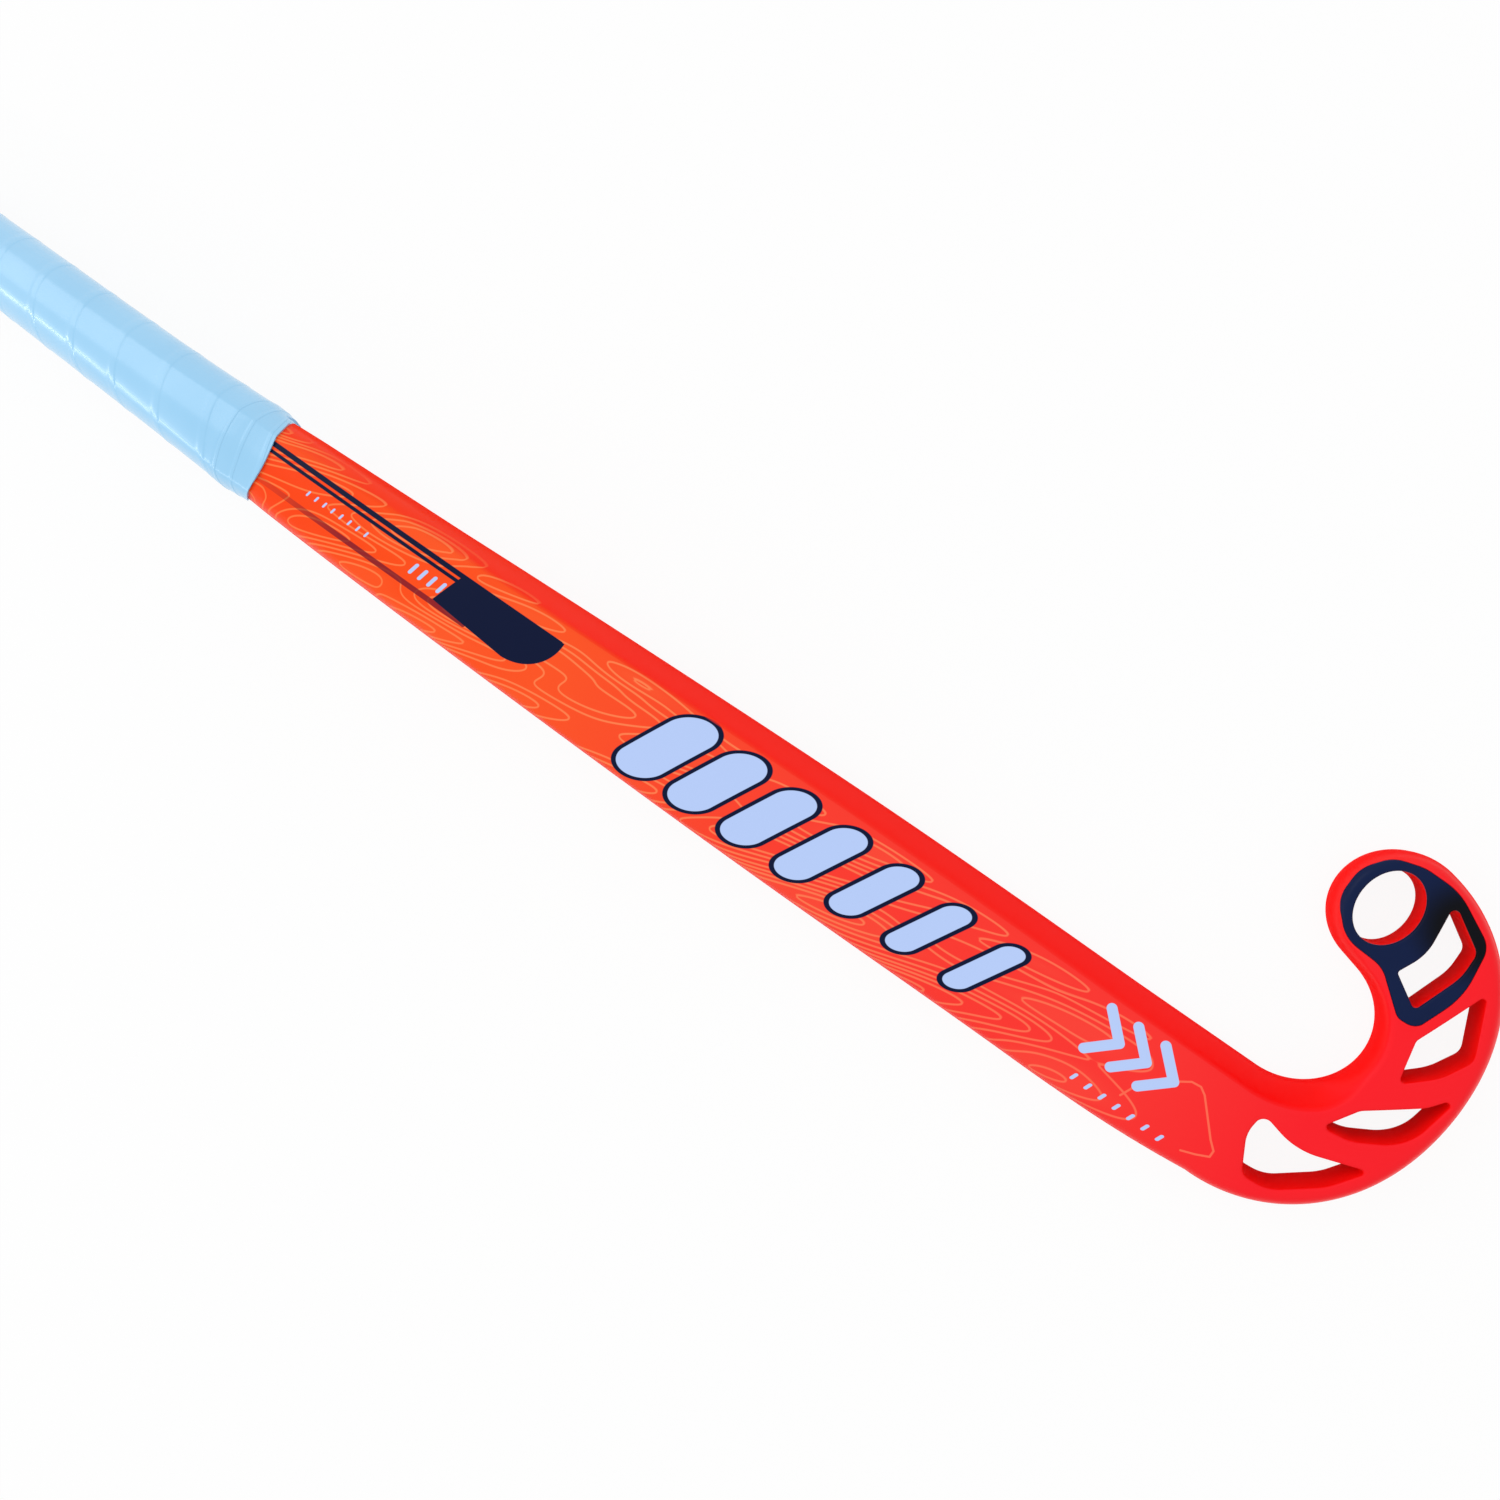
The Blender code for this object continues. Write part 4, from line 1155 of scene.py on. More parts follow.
def wind(name, material, outset_at, start, end, lean=0.0, slant=0.0, draw=0.0, **sizes):
    """Winds tape round the handle between two stations, and turns the result into a plain piece."""
    core = guide_core(start - GRIP_STEP, end + GRIP_STEP, outset_at)
    axis = guide_axis(start, end)
    holder = bpy.data.objects.new(name + "_guide", bpy.data.meshes.new(name + "_guide"))
    bpy.context.scene.collection.objects.link(holder)
    modifier = holder.modifiers.new("wound tape", "NODES")
    modifier.node_group = WOUND_TAPE
    given = {"Core": core, "Axis": axis, "Start": start, "End": end, "Material": material, **sizes}
    for item in WOUND_TAPE.interface.items_tree:
        if item.in_out == "INPUT" and item.name in given:
            modifier[item.identifier] = given[item.name]
    bpy.context.view_layer.update()
    evaluated = holder.evaluated_get(bpy.context.evaluated_depsgraph_get())
    mesh = bpy.data.meshes.new_from_object(evaluated)
    bm = bmesh.new()
    bm.from_mesh(mesh)
    line_tape(bm, start, end, outset_at)
    lean_end(bm, start, end, lean, slant, draw)
    for guide in (holder, core, axis):
        bpy.data.objects.remove(guide)
    return piece(name, bm, material)


print("rings in the grip's lining:", len(even_stations(SHELL_START, WRAP_END, LINING_STEP)))

# %% [markdown]
# The butt is closed by a moulded rubber cap: an oval end with shallow rings, a skirt that the grip's
# first turn covers, and a peg in the middle that presses into the plug. Spinning an outline would make a
# round cap, and the butt is an oval. So the cap is drawn through sections of the butt itself, from the
# middle of the end face round the skirt and back to the tip of the peg.

# %% The butt cap's mesh
CAP_EDGE = 0.0008
SKIRT_THICKNESS = 0.0012
PEG_RADIUS = 0.0050
PEG_LENGTH = 0.0120
CAP_RING_DEPTH = 0.00035
CAP_RING_SHARES = (0.30, 0.55, 0.78)
CAP_RING_WIDTH = 0.030
CAP_RING_PROFILE = ((-1.0, 0.0), (-0.5, 0.75), (0.0, 1.0), (0.5, 0.75), (1.0, 0.0))
CAP_EDGE_STEPS = 5
BUTT_MIDDLE = Vector((0.0, 0.0, bow_height(0.0) + shaft_thickness(0.0) / 2))


def cap_section(x, share, outset):
    """The butt's own section drawn at a station, grown by an outset and then shrunk to a share."""
    spots = [BUTT_MIDDLE + (point - BUTT_MIDDLE) * share for point in fine_ring(0.0, outset)]
    return [Vector((x, spot.y, spot.z)) for spot in spots]


def peg_section(x, radius):
    """A round section with as many points as the butt's, so that the two can be joined."""
    spots = [BUTT_MIDDLE + (point - BUTT_MIDDLE).normalized() * radius for point in fine_ring(0.0)]
    return [Vector((x, spot.y, spot.z)) for spot in spots]


def build_cap(bm):
    sections = []
    for share in CAP_RING_SHARES:
        for step, depth in CAP_RING_PROFILE:
            sections.append(cap_section(CAP_RING_DEPTH * depth, share + CAP_RING_WIDTH * step, CAP_TOP))
    for k in range(CAP_EDGE_STEPS + 1):
        turn = math.pi / 2 * k / CAP_EDGE_STEPS
        inset = CAP_EDGE * (1 - math.sin(turn))
        sections.append(cap_section(CAP_EDGE * (1 - math.cos(turn)), 1.0, CAP_TOP - inset))
    skirt_top = CLEARANCE + SKIRT_THICKNESS
    skirt_end = CAP_DISC + SKIRT_LENGTH
    peg_end = CAP_DISC + PEG_LENGTH
    for x, outset in (
        (CAP_DISC - CAP_EDGE / 4, CAP_TOP), (CAP_DISC, CAP_TOP - CAP_EDGE / 4), (CAP_DISC, skirt_top),
        (skirt_end - CAP_EDGE / 2, skirt_top), (skirt_end, skirt_top - CAP_EDGE / 2), (skirt_end, CLEARANCE),
        (CAP_DISC, CLEARANCE),
    ):
        sections.append(cap_section(x, 1.0, outset))
    for x, radius in ((CAP_DISC, PEG_RADIUS + CAP_EDGE), (CAP_DISC + CAP_EDGE, PEG_RADIUS),
                      (peg_end - CAP_EDGE, PEG_RADIUS), (peg_end, PEG_RADIUS - CAP_EDGE)):
        sections.append(peg_section(x, radius))
    rings = [[bm.verts.new(point) for point in section] for section in sections]
    for first, second in zip(rings, rings[1:]):
        strip(bm, first, second)
    bm.faces.new(rings[0])
    bm.faces.new(rings[-1])


print("cap", round(1000 * (CAP_DISC + PEG_LENGTH), 1), "mm long with its peg")

# %% [markdown]
# Several finishes share an effect, so each effect is a node group that is built once. Its inputs have
# names and plain values, so that each finish changes only what it needs. These helpers make an empty
# group and the few nodes that every group uses.

# %% Node group helpers


def new_group(name, inputs, outputs):
    """A shader node group with its named inputs and outputs, and the sockets inside it."""
    tree = bpy.data.node_groups.new(name, "ShaderNodeTree")
    for socket_name, value in inputs.items():
        kind = "NodeSocketVector" if value is None else "NodeSocketFloat"
        item = tree.interface.new_socket(name=socket_name, in_out="INPUT", socket_type=kind)
        if value is not None:
            item.default_value = value
    for socket_name in outputs:
        tree.interface.new_socket(name=socket_name, in_out="OUTPUT", socket_type="NodeSocketFloat")
    return tree, add(tree, "NodeGroupInput").outputs, tree.nodes.new("NodeGroupOutput")


def noise_at(tree, vector, scale, detail, **settings):
    inputs = {"Vector": vector, "Scale": scale, "Detail": detail}
    return add(tree, "ShaderNodeTexNoise", inputs, **settings).outputs[0]


def centred(tree, value):
    return calc(tree, "SUBTRACT", value, 0.5)


def root_of_squares(tree, first, second):
    """The length of a flat vector from its two parts."""
    square = calc(tree, "MULTIPLY_ADD", first, first, calc(tree, "MULTIPLY", second, second))
    return calc(tree, "SQRT", square)


print("node groups so far:", len(bpy.data.node_groups))

# %% [markdown]
# The first effect is the fine texture that paint and moulded plastic have: a slow waviness, a fine grain,
# and hairline scratches in patches. A scanned image could show it, but noise has no seams and no end.

# %% Surface texture group
SCRATCH_TURN = (0.0, 0.0, 0.35)
SCRATCH_SCALE = (60.0, 1400.0, 1400.0)
PATCH_SCALE = 25.0


def surface_texture_group():
    tree, given, result = new_group(
        "Surface Texture",
        {"Vector": None, "Wave Scale": 60.0, "Grain Scale": 2500.0, "Grain Share": 0.3,
         "Scratch Share": 0.3},
        ("Height", "Wear"),
    )
    wave = noise_at(tree, given["Vector"], given["Wave Scale"], 1.0)
    grain = noise_at(tree, given["Vector"], given["Grain Scale"], 3.0)
    stretched = add(tree, "ShaderNodeMapping",
                    {"Vector": given["Vector"], "Rotation": SCRATCH_TURN, "Scale": SCRATCH_SCALE})
    hairs = ramp(tree, noise_at(tree, stretched.outputs[0], 1.0, 2.0), 0.70, 0.76)
    patches = ramp(tree, noise_at(tree, given["Vector"], PATCH_SCALE, 2.0), 0.5, 0.7)
    scratches = calc(tree, "MULTIPLY", calc(tree, "MULTIPLY", hairs, patches), given["Scratch Share"])
    height = calc(tree, "MULTIPLY_ADD", grain, given["Grain Share"], wave)
    height = calc(tree, "SUBTRACT", height, scratches)
    tree.links.new(height, result.inputs["Height"])
    wear = calc(tree, "MULTIPLY_ADD", centred(tree, grain), given["Grain Share"], scratches)
    tree.links.new(wear, result.inputs["Wear"])
    return tree


SURFACE_TEXTURE = surface_texture_group()
print("nodes in the surface texture:", len(SURFACE_TEXTURE.nodes))

# %% [markdown]
# Fine lines flow over the back of the shaft like the contours of a map or the grain of a plank. They are
# the contours of a smooth noise that is stretched along the stick. The noise dies away at the bevel and
# at the head, so its lines close there in rounded tips. It is read at three close spots, which gives its
# slope, and dividing by the slope keeps every line equally wide.

# %% Contour line group
CONTOUR_REACH = 0.0002
LEAST_SLOPE = 20.0
BORDER_SHIFT = (0.58, 0.66)
WARP_SCALE_SHARE = 0.4


def contour_group():
    tree, given, result = new_group(
        "Contour Lines",
        {"Vector": None, "Turn": -0.24, "Stretch": 5.5, "Scale": 72.0, "Levels": 11.0, "Warp": 0.25,
         "Line Width": 0.0007, "Line Edge": 0.0002, "Head Start": 0.80, "Head End": 0.862,
         "Border by Grip": 0.0200, "Border by Head": 0.0172, "Border Fade": 0.0065},
        ("Mask", "Level"),
    )

    def level_at(step_x, step_y):
        moved = add(tree, "ShaderNodeVectorMath", {0: given["Vector"], 1: (step_x, step_y, 0.0)},
                    operation="ADD")
        spot = add(tree, "ShaderNodeSeparateXYZ", {0: moved.outputs[0]}).outputs
        turned = add(tree, "ShaderNodeVectorRotate", {"Vector": moved.outputs[0], "Angle": given["Turn"]},
                     rotation_type="Z_AXIS")
        parts = add(tree, "ShaderNodeSeparateXYZ", {0: turned.outputs[0]}).outputs
        shrunk = calc(tree, "DIVIDE", parts["X"], given["Stretch"])
        flat = add(tree, "ShaderNodeCombineXYZ", {"X": shrunk, "Y": parts["Y"]}).outputs[0]
        slow = calc(tree, "MULTIPLY", given["Scale"], WARP_SCALE_SHARE)
        bend = centred(tree, noise_at(tree, flat, slow, 1.0, noise_dimensions="2D"))
        bend = calc(tree, "DIVIDE", bend, given["Scale"])
        shifted = calc(tree, "MULTIPLY_ADD", bend, given["Warp"], parts["Y"])
        bent = add(tree, "ShaderNodeCombineXYZ", {"X": shrunk, "Y": shifted}).outputs[0]
        noise = centred(tree, noise_at(tree, bent, given["Scale"], 0.0, noise_dimensions="2D"))
        border = ramp(tree, spot["X"], *BORDER_SHIFT, given["Border by Grip"], given["Border by Head"])
        inwards = calc(tree, "SUBTRACT", border, spot["Y"])
        before_head = ramp(tree, spot["X"], given["Head Start"], given["Head End"], 1.0, 0.0)
        open_share = calc(tree, "MULTIPLY", ramp(tree, inwards, 0.0, given["Border Fade"]), before_head)
        return calc(tree, "MULTIPLY", calc(tree, "MULTIPLY", noise, open_share), given["Levels"])

    here = level_at(0.0, 0.0)
    slope_x = calc(tree, "SUBTRACT", level_at(CONTOUR_REACH, 0.0), here)
    slope_y = calc(tree, "SUBTRACT", level_at(0.0, CONTOUR_REACH), here)
    slope = calc(tree, "DIVIDE", root_of_squares(tree, slope_x, slope_y), CONTOUR_REACH)
    slope = calc(tree, "MAXIMUM", slope, LEAST_SLOPE)
    nearest = calc(tree, "ABSOLUTE", centred(tree, calc(tree, "FRACT", here)))
    distance = calc(tree, "DIVIDE", nearest, slope)
    half = calc(tree, "MULTIPLY", given["Line Width"], 0.5)
    mask = ramp(tree, distance, calc(tree, "SUBTRACT", half, given["Line Edge"]),
                calc(tree, "ADD", half, given["Line Edge"]), 1.0, 0.0)
    tree.links.new(mask, result.inputs["Mask"])
    tree.links.new(calc(tree, "DIVIDE", here, given["Levels"]), result.inputs["Level"])
    return tree


CONTOUR_LINES = contour_group()
print("nodes in the contour lines:", len(CONTOUR_LINES.nodes))

# %% [markdown]
# The prints are made of two marks. The first is a stripe: everything within half a width of a line
# between two points, so its ends are round. It gives a soft mask that colours are then mixed by. A
# texture drawn by hand would do too, but it would blur close up, and this stays sharp.

# %% Stripe group
MARK_EDGE = 0.00010


def stripe_group():
    tree, given, result = new_group(
        "Stripe",
        {"Vector": None, "Start X": 0.0, "Start Y": 0.0, "End X": 0.1, "End Y": 0.0, "Half Width": 0.001},
        ("Mask",),
    )
    spot = add(tree, "ShaderNodeSeparateXYZ", {0: given["Vector"]}).outputs
    from_x = calc(tree, "SUBTRACT", spot["X"], given["Start X"])
    from_y = calc(tree, "SUBTRACT", spot["Y"], given["Start Y"])
    run_x = calc(tree, "SUBTRACT", given["End X"], given["Start X"])
    run_y = calc(tree, "SUBTRACT", given["End Y"], given["Start Y"])
    dot = calc(tree, "MULTIPLY_ADD", from_x, run_x, calc(tree, "MULTIPLY", from_y, run_y))
    square = calc(tree, "MULTIPLY_ADD", run_x, run_x, calc(tree, "MULTIPLY", run_y, run_y))
    share = calc(tree, "DIVIDE", dot, square, clamp=True)
    off_x = calc(tree, "SUBTRACT", from_x, calc(tree, "MULTIPLY", share, run_x))
    off_y = calc(tree, "SUBTRACT", from_y, calc(tree, "MULTIPLY", share, run_y))
    edge = calc(tree, "SUBTRACT", root_of_squares(tree, off_x, off_y), given["Half Width"])
    tree.links.new(ramp(tree, edge, -MARK_EDGE, MARK_EDGE, 1.0, 0.0), result.inputs["Mask"])
    return tree


STRIPE = stripe_group()
print("nodes in a stripe:", len(STRIPE.nodes))

# %% [markdown]
# The second mark is a row of slanted bars. It repeats one bar along the stick, each a little thinner than
# the last, with an outline round it. Seven stripes would need as many copies of the stripe group, and the
# row needs one.

# %% Bar row group


def bar_row_group():
    tree, given, result = new_group(
        "Bar Row",
        {"Vector": None, "Start": 0.0, "Pitch": 0.02, "Count": 5.0, "Slant": 0.4, "Middle": 0.0,
         "Half Length": 0.01, "Half Width": 0.005, "Thinning": 0.0, "Outline": 0.001},
        ("Fill", "Edge"),
    )
    spot = add(tree, "ShaderNodeSeparateXYZ", {0: given["Vector"]}).outputs
    up = calc(tree, "SUBTRACT", spot["Y"], given["Middle"])
    along_row = calc(tree, "SUBTRACT", spot["X"], given["Start"])
    leaned = calc(tree, "SUBTRACT", along_row, calc(tree, "MULTIPLY", up, given["Slant"]))
    counted = calc(tree, "DIVIDE", leaned, given["Pitch"])
    index = calc(tree, "FLOOR", counted)
    local = calc(tree, "MULTIPLY", centred(tree, calc(tree, "FRACT", counted)), given["Pitch"])
    square_up = calc(tree, "COSINE", calc(tree, "ARCTANGENT", given["Slant"]))
    off = calc(tree, "MULTIPLY", local, square_up)
    past_end = calc(tree, "SUBTRACT", calc(tree, "ABSOLUTE", up), given["Half Length"])
    distance = root_of_squares(tree, off, calc(tree, "MAXIMUM", past_end, 0.0))
    half = calc(tree, "SUBTRACT", given["Half Width"], calc(tree, "MULTIPLY", index, given["Thinning"]))
    edge = calc(tree, "SUBTRACT", distance, half)
    after_first = calc(tree, "GREATER_THAN", counted, 0.0)
    present = calc(tree, "MULTIPLY", after_first, calc(tree, "LESS_THAN", counted, given["Count"]))
    filled = calc(tree, "MULTIPLY", ramp(tree, edge, -MARK_EDGE, MARK_EDGE, 1.0, 0.0), present)
    outer = calc(tree, "SUBTRACT", edge, given["Outline"])
    ringed = calc(tree, "MULTIPLY", ramp(tree, outer, -MARK_EDGE, MARK_EDGE, 1.0, 0.0), present)
    tree.links.new(filled, result.inputs["Fill"])
    tree.links.new(ringed, result.inputs["Edge"])
    return tree


BAR_ROW = bar_row_group()
print("nodes in a row of bars:", len(BAR_ROW.nodes))

# %% [markdown]
# Foam is a mass of small bubbles. A Voronoi texture's cells are their shape: each cell is a shallow dome,
# and the lines between them are the thin walls. The same group serves the stiff foam in the shaft and the
# soft foam under the grip, with its own cell size for each.

# %% Foam cell group


def foam_group():
    tree, given, result = new_group(
        "Foam Cells",
        {"Vector": None, "Cells per Metre": 900.0, "Mottle Scale": 60.0},
        ("Height", "Mottle"),
    )
    cells = add(tree, "ShaderNodeTexVoronoi",
                {"Vector": given["Vector"], "Scale": given["Cells per Metre"]}, feature="SMOOTH_F1")
    tree.links.new(calc(tree, "SUBTRACT", 1.0, cells.outputs["Distance"]), result.inputs["Height"])
    tree.links.new(noise_at(tree, given["Vector"], given["Mottle Scale"], 4.0), result.inputs["Mottle"])
    return tree


FOAM_CELLS = foam_group()
print("nodes in the foam:", len(FOAM_CELLS.nodes))

# %% [markdown]
# Every finish starts in the same way: a Principled shader with its plain values on its own sockets, and a
# vector that says where on the stick a point lies. Object coordinates could be used as they are, but
# measured from the butt they agree with the stations that the shapes are drawn at, so a print's place is
# a real length.

# %% Material helpers


def use_group(tree, group, inputs):
    """Places a node group and fills its inputs with numbers or with links."""
    made = tree.nodes.new("ShaderNodeGroup")
    made.node_tree = group
    for name, value in inputs.items():
        if isinstance(value, bpy.types.NodeSocket):
            tree.links.new(value, made.inputs[name])
        else:
            made.inputs[name].default_value = value
    return made.outputs


def new_material(name, roughness, **sockets):
    """A material with a Principled shader, and a vector that is measured from the butt like the shapes."""
    material = bpy.data.materials.new(name)
    material.use_nodes = True
    tree = material.node_tree
    shader = tree.nodes["Principled BSDF"]
    shader.inputs["Roughness"].default_value = roughness
    for socket_name, value in sockets.items():
        shader.inputs[socket_name.replace("_", " ")].default_value = value
    place = add(tree, "ShaderNodeTexCoord").outputs["Object"]
    moved = add(tree, "ShaderNodeMapping", {"Vector": place, "Location": tuple(-BUTT)})
    return material, tree, shader, moved.outputs[0]


def bump(tree, shader, height, strength, distance):
    made = add(tree, "ShaderNodeBump", {"Height": height, "Strength": strength, "Distance": distance})
    tree.links.new(made.outputs[0], shader.inputs["Normal"])


groups = (SURFACE_TEXTURE, CONTOUR_LINES, STRIPE, BAR_ROW, FOAM_CELLS)
print("groups ready for the finishes:", [group.name for group in groups])

# %% [markdown]
# The lacquer runs from orange at the grip to red at the head. The bevel, and every face that turns away from
# above, take a purer and deeper red: partly the bevel's own tone, partly painted shade on the sloping sides
# and walls. The colours could be painted on faces, but a colour ramp along the stick is smooth at any
# distance.

# %% Lacquer colours
BACK_COLOURS = ((0.42, (252, 66, 10)), (0.50, (253, 76, 18)), (0.58, (253, 84, 34)), (0.70, (252, 60, 46)),
                (0.84, (251, 52, 48)), (0.89, (250, 30, 40)))
# The bevel's deeper red, also used as painted shade on walls and side faces
BEVEL_AND_SHADE_COLOURS = ((0.42, (253, 46, 2)), (0.65, (252, 24, 2)), (0.87, (252, 6, 4)))


def gradient(tree, value, stops):
    """A colour that runs through (position, colour) stops along a value."""
    made = add(tree, "ShaderNodeValToRGB", {0: value})
    elements = made.color_ramp.elements
    while len(elements) < len(stops):
        elements.new(0.5)
    for element, (position, shade) in zip(elements, stops):
        element.position = position
        element.color = colour(shade)
    return made.outputs[0]


print("colours from grip to head:", len(BACK_COLOURS), "on the back,", len(BEVEL_AND_SHADE_COLOURS), "on the bevel")

# %% [markdown]
# The pale lines are printed over the lacquer. They run over the bevel near the grip and keep to the back
# further on. The last line by the head is a loop with a shape of its own, so it is drawn as a chain of
# short stripes and not left to the noise.

# %% Lines on the lacquer
LINE_COLOURS = ((0.42, (255, 128, 66)), (0.62, (255, 136, 84)), (0.84, (255, 112, 84)))
LINE_COVER = 0.85
HILL_TINT = 0.12
LAST_LOOP = ((0.8399, -0.0095), (0.8428, -0.0020), (0.8488, 0.0036), (0.8556, 0.0086), (0.8588, 0.0090),
             (0.8612, 0.0074), (0.8655, 0.0024), (0.8708, -0.0038), (0.8736, -0.0064), (0.8737, -0.0088),
             (0.8698, -0.0110), (0.8654, -0.0129))
LOOP_HALF_WIDTH = 0.00035


def stripe(tree, place, start, end, half_width):
    sizes = {"Vector": place, "Start X": start[0], "Start Y": start[1], "End X": end[0], "End Y": end[1],
             "Half Width": half_width}
    return use_group(tree, STRIPE, sizes)["Mask"]


def most(tree, first, *others):
    """The greatest of several masks."""
    for other in others:
        first = calc(tree, "MAXIMUM", first, other)
    return first


def add_lines(tree, place, spot, lined, shade):
    """Tints the back where the contours stand high, and draws their pale lines and the last loop."""
    contour = use_group(tree, CONTOUR_LINES, {"Vector": place})
    line_colour = gradient(tree, spot["X"], LINE_COLOURS)
    tint = calc(tree, "MULTIPLY", ramp(tree, contour["Level"], 0.02, 0.2, 0.0, HILL_TINT), lined)
    pieces = [stripe(tree, place, a, b, LOOP_HALF_WIDTH) for a, b in zip(LAST_LOOP, LAST_LOOP[1:])]
    drawn = calc(tree, "MULTIPLY", most(tree, contour["Mask"], *pieces), lined)
    tinted = blend_colour(tree, tint, shade, line_colour)
    return blend_colour(tree, calc(tree, "MULTIPLY", drawn, LINE_COVER), tinted, line_colour)


print("stripes in the last loop:", len(LAST_LOOP) - 1)

# %% [markdown]
# The navy stripes end in a panel with a slanted start and a lower edge that sweeps up to a point. Each of
# its edges is a rule that says how far inside a spot lies, and the least of them is the panel's own. A
# chain of stripes would leave its corners round.

# %% Navy panel
PANEL_START = 0.5260
PANEL_SLANT = 0.455
PANEL_TOP = 0.00968
PANEL_LOW = 0.03565
PANEL_LOW_SLOPE = -0.079
PANEL_SWEEP_START = 0.560
PANEL_SWEEP_LENGTH = 0.0215
PANEL_SWEEP_DEPTH = 0.0184
SWEEP_TO_LENGTH = 0.010


def panel_mask(tree, spot):
    """A panel with a slanted start and a lower edge that sweeps up to a point, like a quarter of an oval."""
    x, y = spot["X"], spot["Y"]
    past_start = calc(tree, "SUBTRACT", x, calc(tree, "MULTIPLY_ADD", y, PANEL_SLANT, PANEL_START))
    below_top = calc(tree, "SUBTRACT", PANEL_TOP, y)
    above_low = calc(tree, "SUBTRACT", y, calc(tree, "MULTIPLY_ADD", x, PANEL_LOW_SLOPE, PANEL_LOW))
    past = calc(tree, "MAXIMUM", calc(tree, "SUBTRACT", x, PANEL_SWEEP_START), 0.0)
    past = calc(tree, "DIVIDE", past, PANEL_SWEEP_LENGTH)
    deep = calc(tree, "DIVIDE", calc(tree, "SUBTRACT", y, PANEL_TOP), PANEL_SWEEP_DEPTH)
    square = calc(tree, "MULTIPLY_ADD", past, past, calc(tree, "MULTIPLY", deep, deep))
    within_oval = calc(tree, "MULTIPLY", calc(tree, "SUBTRACT", 1.0, square), SWEEP_TO_LENGTH)
    inside = calc(tree, "MINIMUM", calc(tree, "MINIMUM", past_start, below_top),
                  calc(tree, "MINIMUM", above_low, within_oval))
    return ramp(tree, inside, -MARK_EDGE, MARK_EDGE)


print("panel starts", round(1000 * PANEL_START), "mm from the butt")

# %% [markdown]
# All prints lie flat on the back: two navy stripes that end in the panel, a dark stripe that fades in, a
# row of pale bars with a navy outline, three pale arrows and rows of ticks. They could be thin shapes
# laid over the back, but ink has no thickness, so they are masks in the lacquer's colour, laid on in the
# order of printing.

# %% Prints
NAVY = (6, 18, 52)
PALE = (184, 206, 250)
DARK_RED = (126, 22, 38)
DARK_STRIPE = ((0.40, -0.0069), (0.5405, -0.0069), 0.00115)
DARK_FADE = (0.42, 0.48, 0.25, 0.9)
NAVY_STRIPES = (((0.40, 0.0088), (0.580, 0.0088), 0.00108), ((0.40, 0.0058), (0.530, 0.0060), 0.00075))
TICK_SLANT = 0.35
TICK_ROWS = (
    {"Start": 0.8215, "Pitch": 0.0056, "Count": 7.0, "Middle": -0.0137, "Half Length": 0.0009,
     "Half Width": 0.0006},
    {"Start": 0.4470, "Pitch": 0.0048, "Count": 8.0, "Middle": 0.0002, "Half Length": 0.0008,
     "Half Width": 0.0005},
    {"Start": 0.5070, "Pitch": 0.0050, "Count": 4.0, "Middle": 0.0000, "Half Length": 0.0019,
     "Half Width": 0.0008},
)
BIG_BARS = {"Start": 0.626, "Pitch": 0.0235, "Count": 7.0, "Slant": 0.55, "Middle": -0.0010,
            "Half Length": 0.0092, "Half Width": 0.0080, "Thinning": 0.0007, "Outline": 0.0015}
ARROWS = 3
ARROW_TIP = (0.8300, 0.0050)
ARROW_STEP = 0.0105
ARROW_ARM = 0.0085
ARROW_HALF_WIDTH = 0.0018


def bar_row(tree, place, sizes):
    return use_group(tree, BAR_ROW, {"Vector": place, **sizes})


def add_prints(tree, place, spot, back, shade):
    """Lays each print over the lacquer's colour, in the order in which they are printed."""
    dark = calc(tree, "MULTIPLY", stripe(tree, place, *DARK_STRIPE), ramp(tree, spot["X"], *DARK_FADE))
    shade = blend_colour(tree, calc(tree, "MULTIPLY", dark, back), shade, DARK_RED)

    bars = bar_row(tree, place, BIG_BARS)
    stripes = [stripe(tree, place, *sizes) for sizes in NAVY_STRIPES]
    navy = most(tree, panel_mask(tree, spot), bars["Edge"], *stripes)
    shade = blend_colour(tree, calc(tree, "MULTIPLY", navy, back), shade, NAVY)

    marks = [bars["Fill"]]
    for row in TICK_ROWS:
        marks.append(bar_row(tree, place, {**row, "Slant": TICK_SLANT, "Outline": 0.0})["Fill"])
    for k in range(ARROWS):
        tip_x = ARROW_TIP[0] + ARROW_STEP * k
        for side in (-ARROW_ARM, ARROW_ARM):
            wing_end = (tip_x - ARROW_ARM, ARROW_TIP[1] + side)
            marks.append(stripe(tree, place, (tip_x, ARROW_TIP[1]), wing_end, ARROW_HALF_WIDTH))
    return blend_colour(tree, calc(tree, "MULTIPLY", most(tree, *marks), back), shade, PALE)


print("prints:", 1 + len(NAVY_STRIPES), "stripes,", ARROWS, "arrows,", len(TICK_ROWS), "rows of ticks")

# %% [markdown]
# The lacquer brings colours, lines and prints together. It is satin, and rougher on the walls of the
# openings, as lacquer is where it can't be polished. The bevel is a named attribute of the moulding, and it
# is bare of lines from the middle of the shaft on. The bevel and every face that turns away from above get
# the deeper red, which is partly painted shade. The toe plate's walls take the same lacquer without any
# print.

# %% Lacquer
SATIN = 0.34
ROUGH_WALL = 0.85
BARE_BEVEL = (0.56, 0.66)


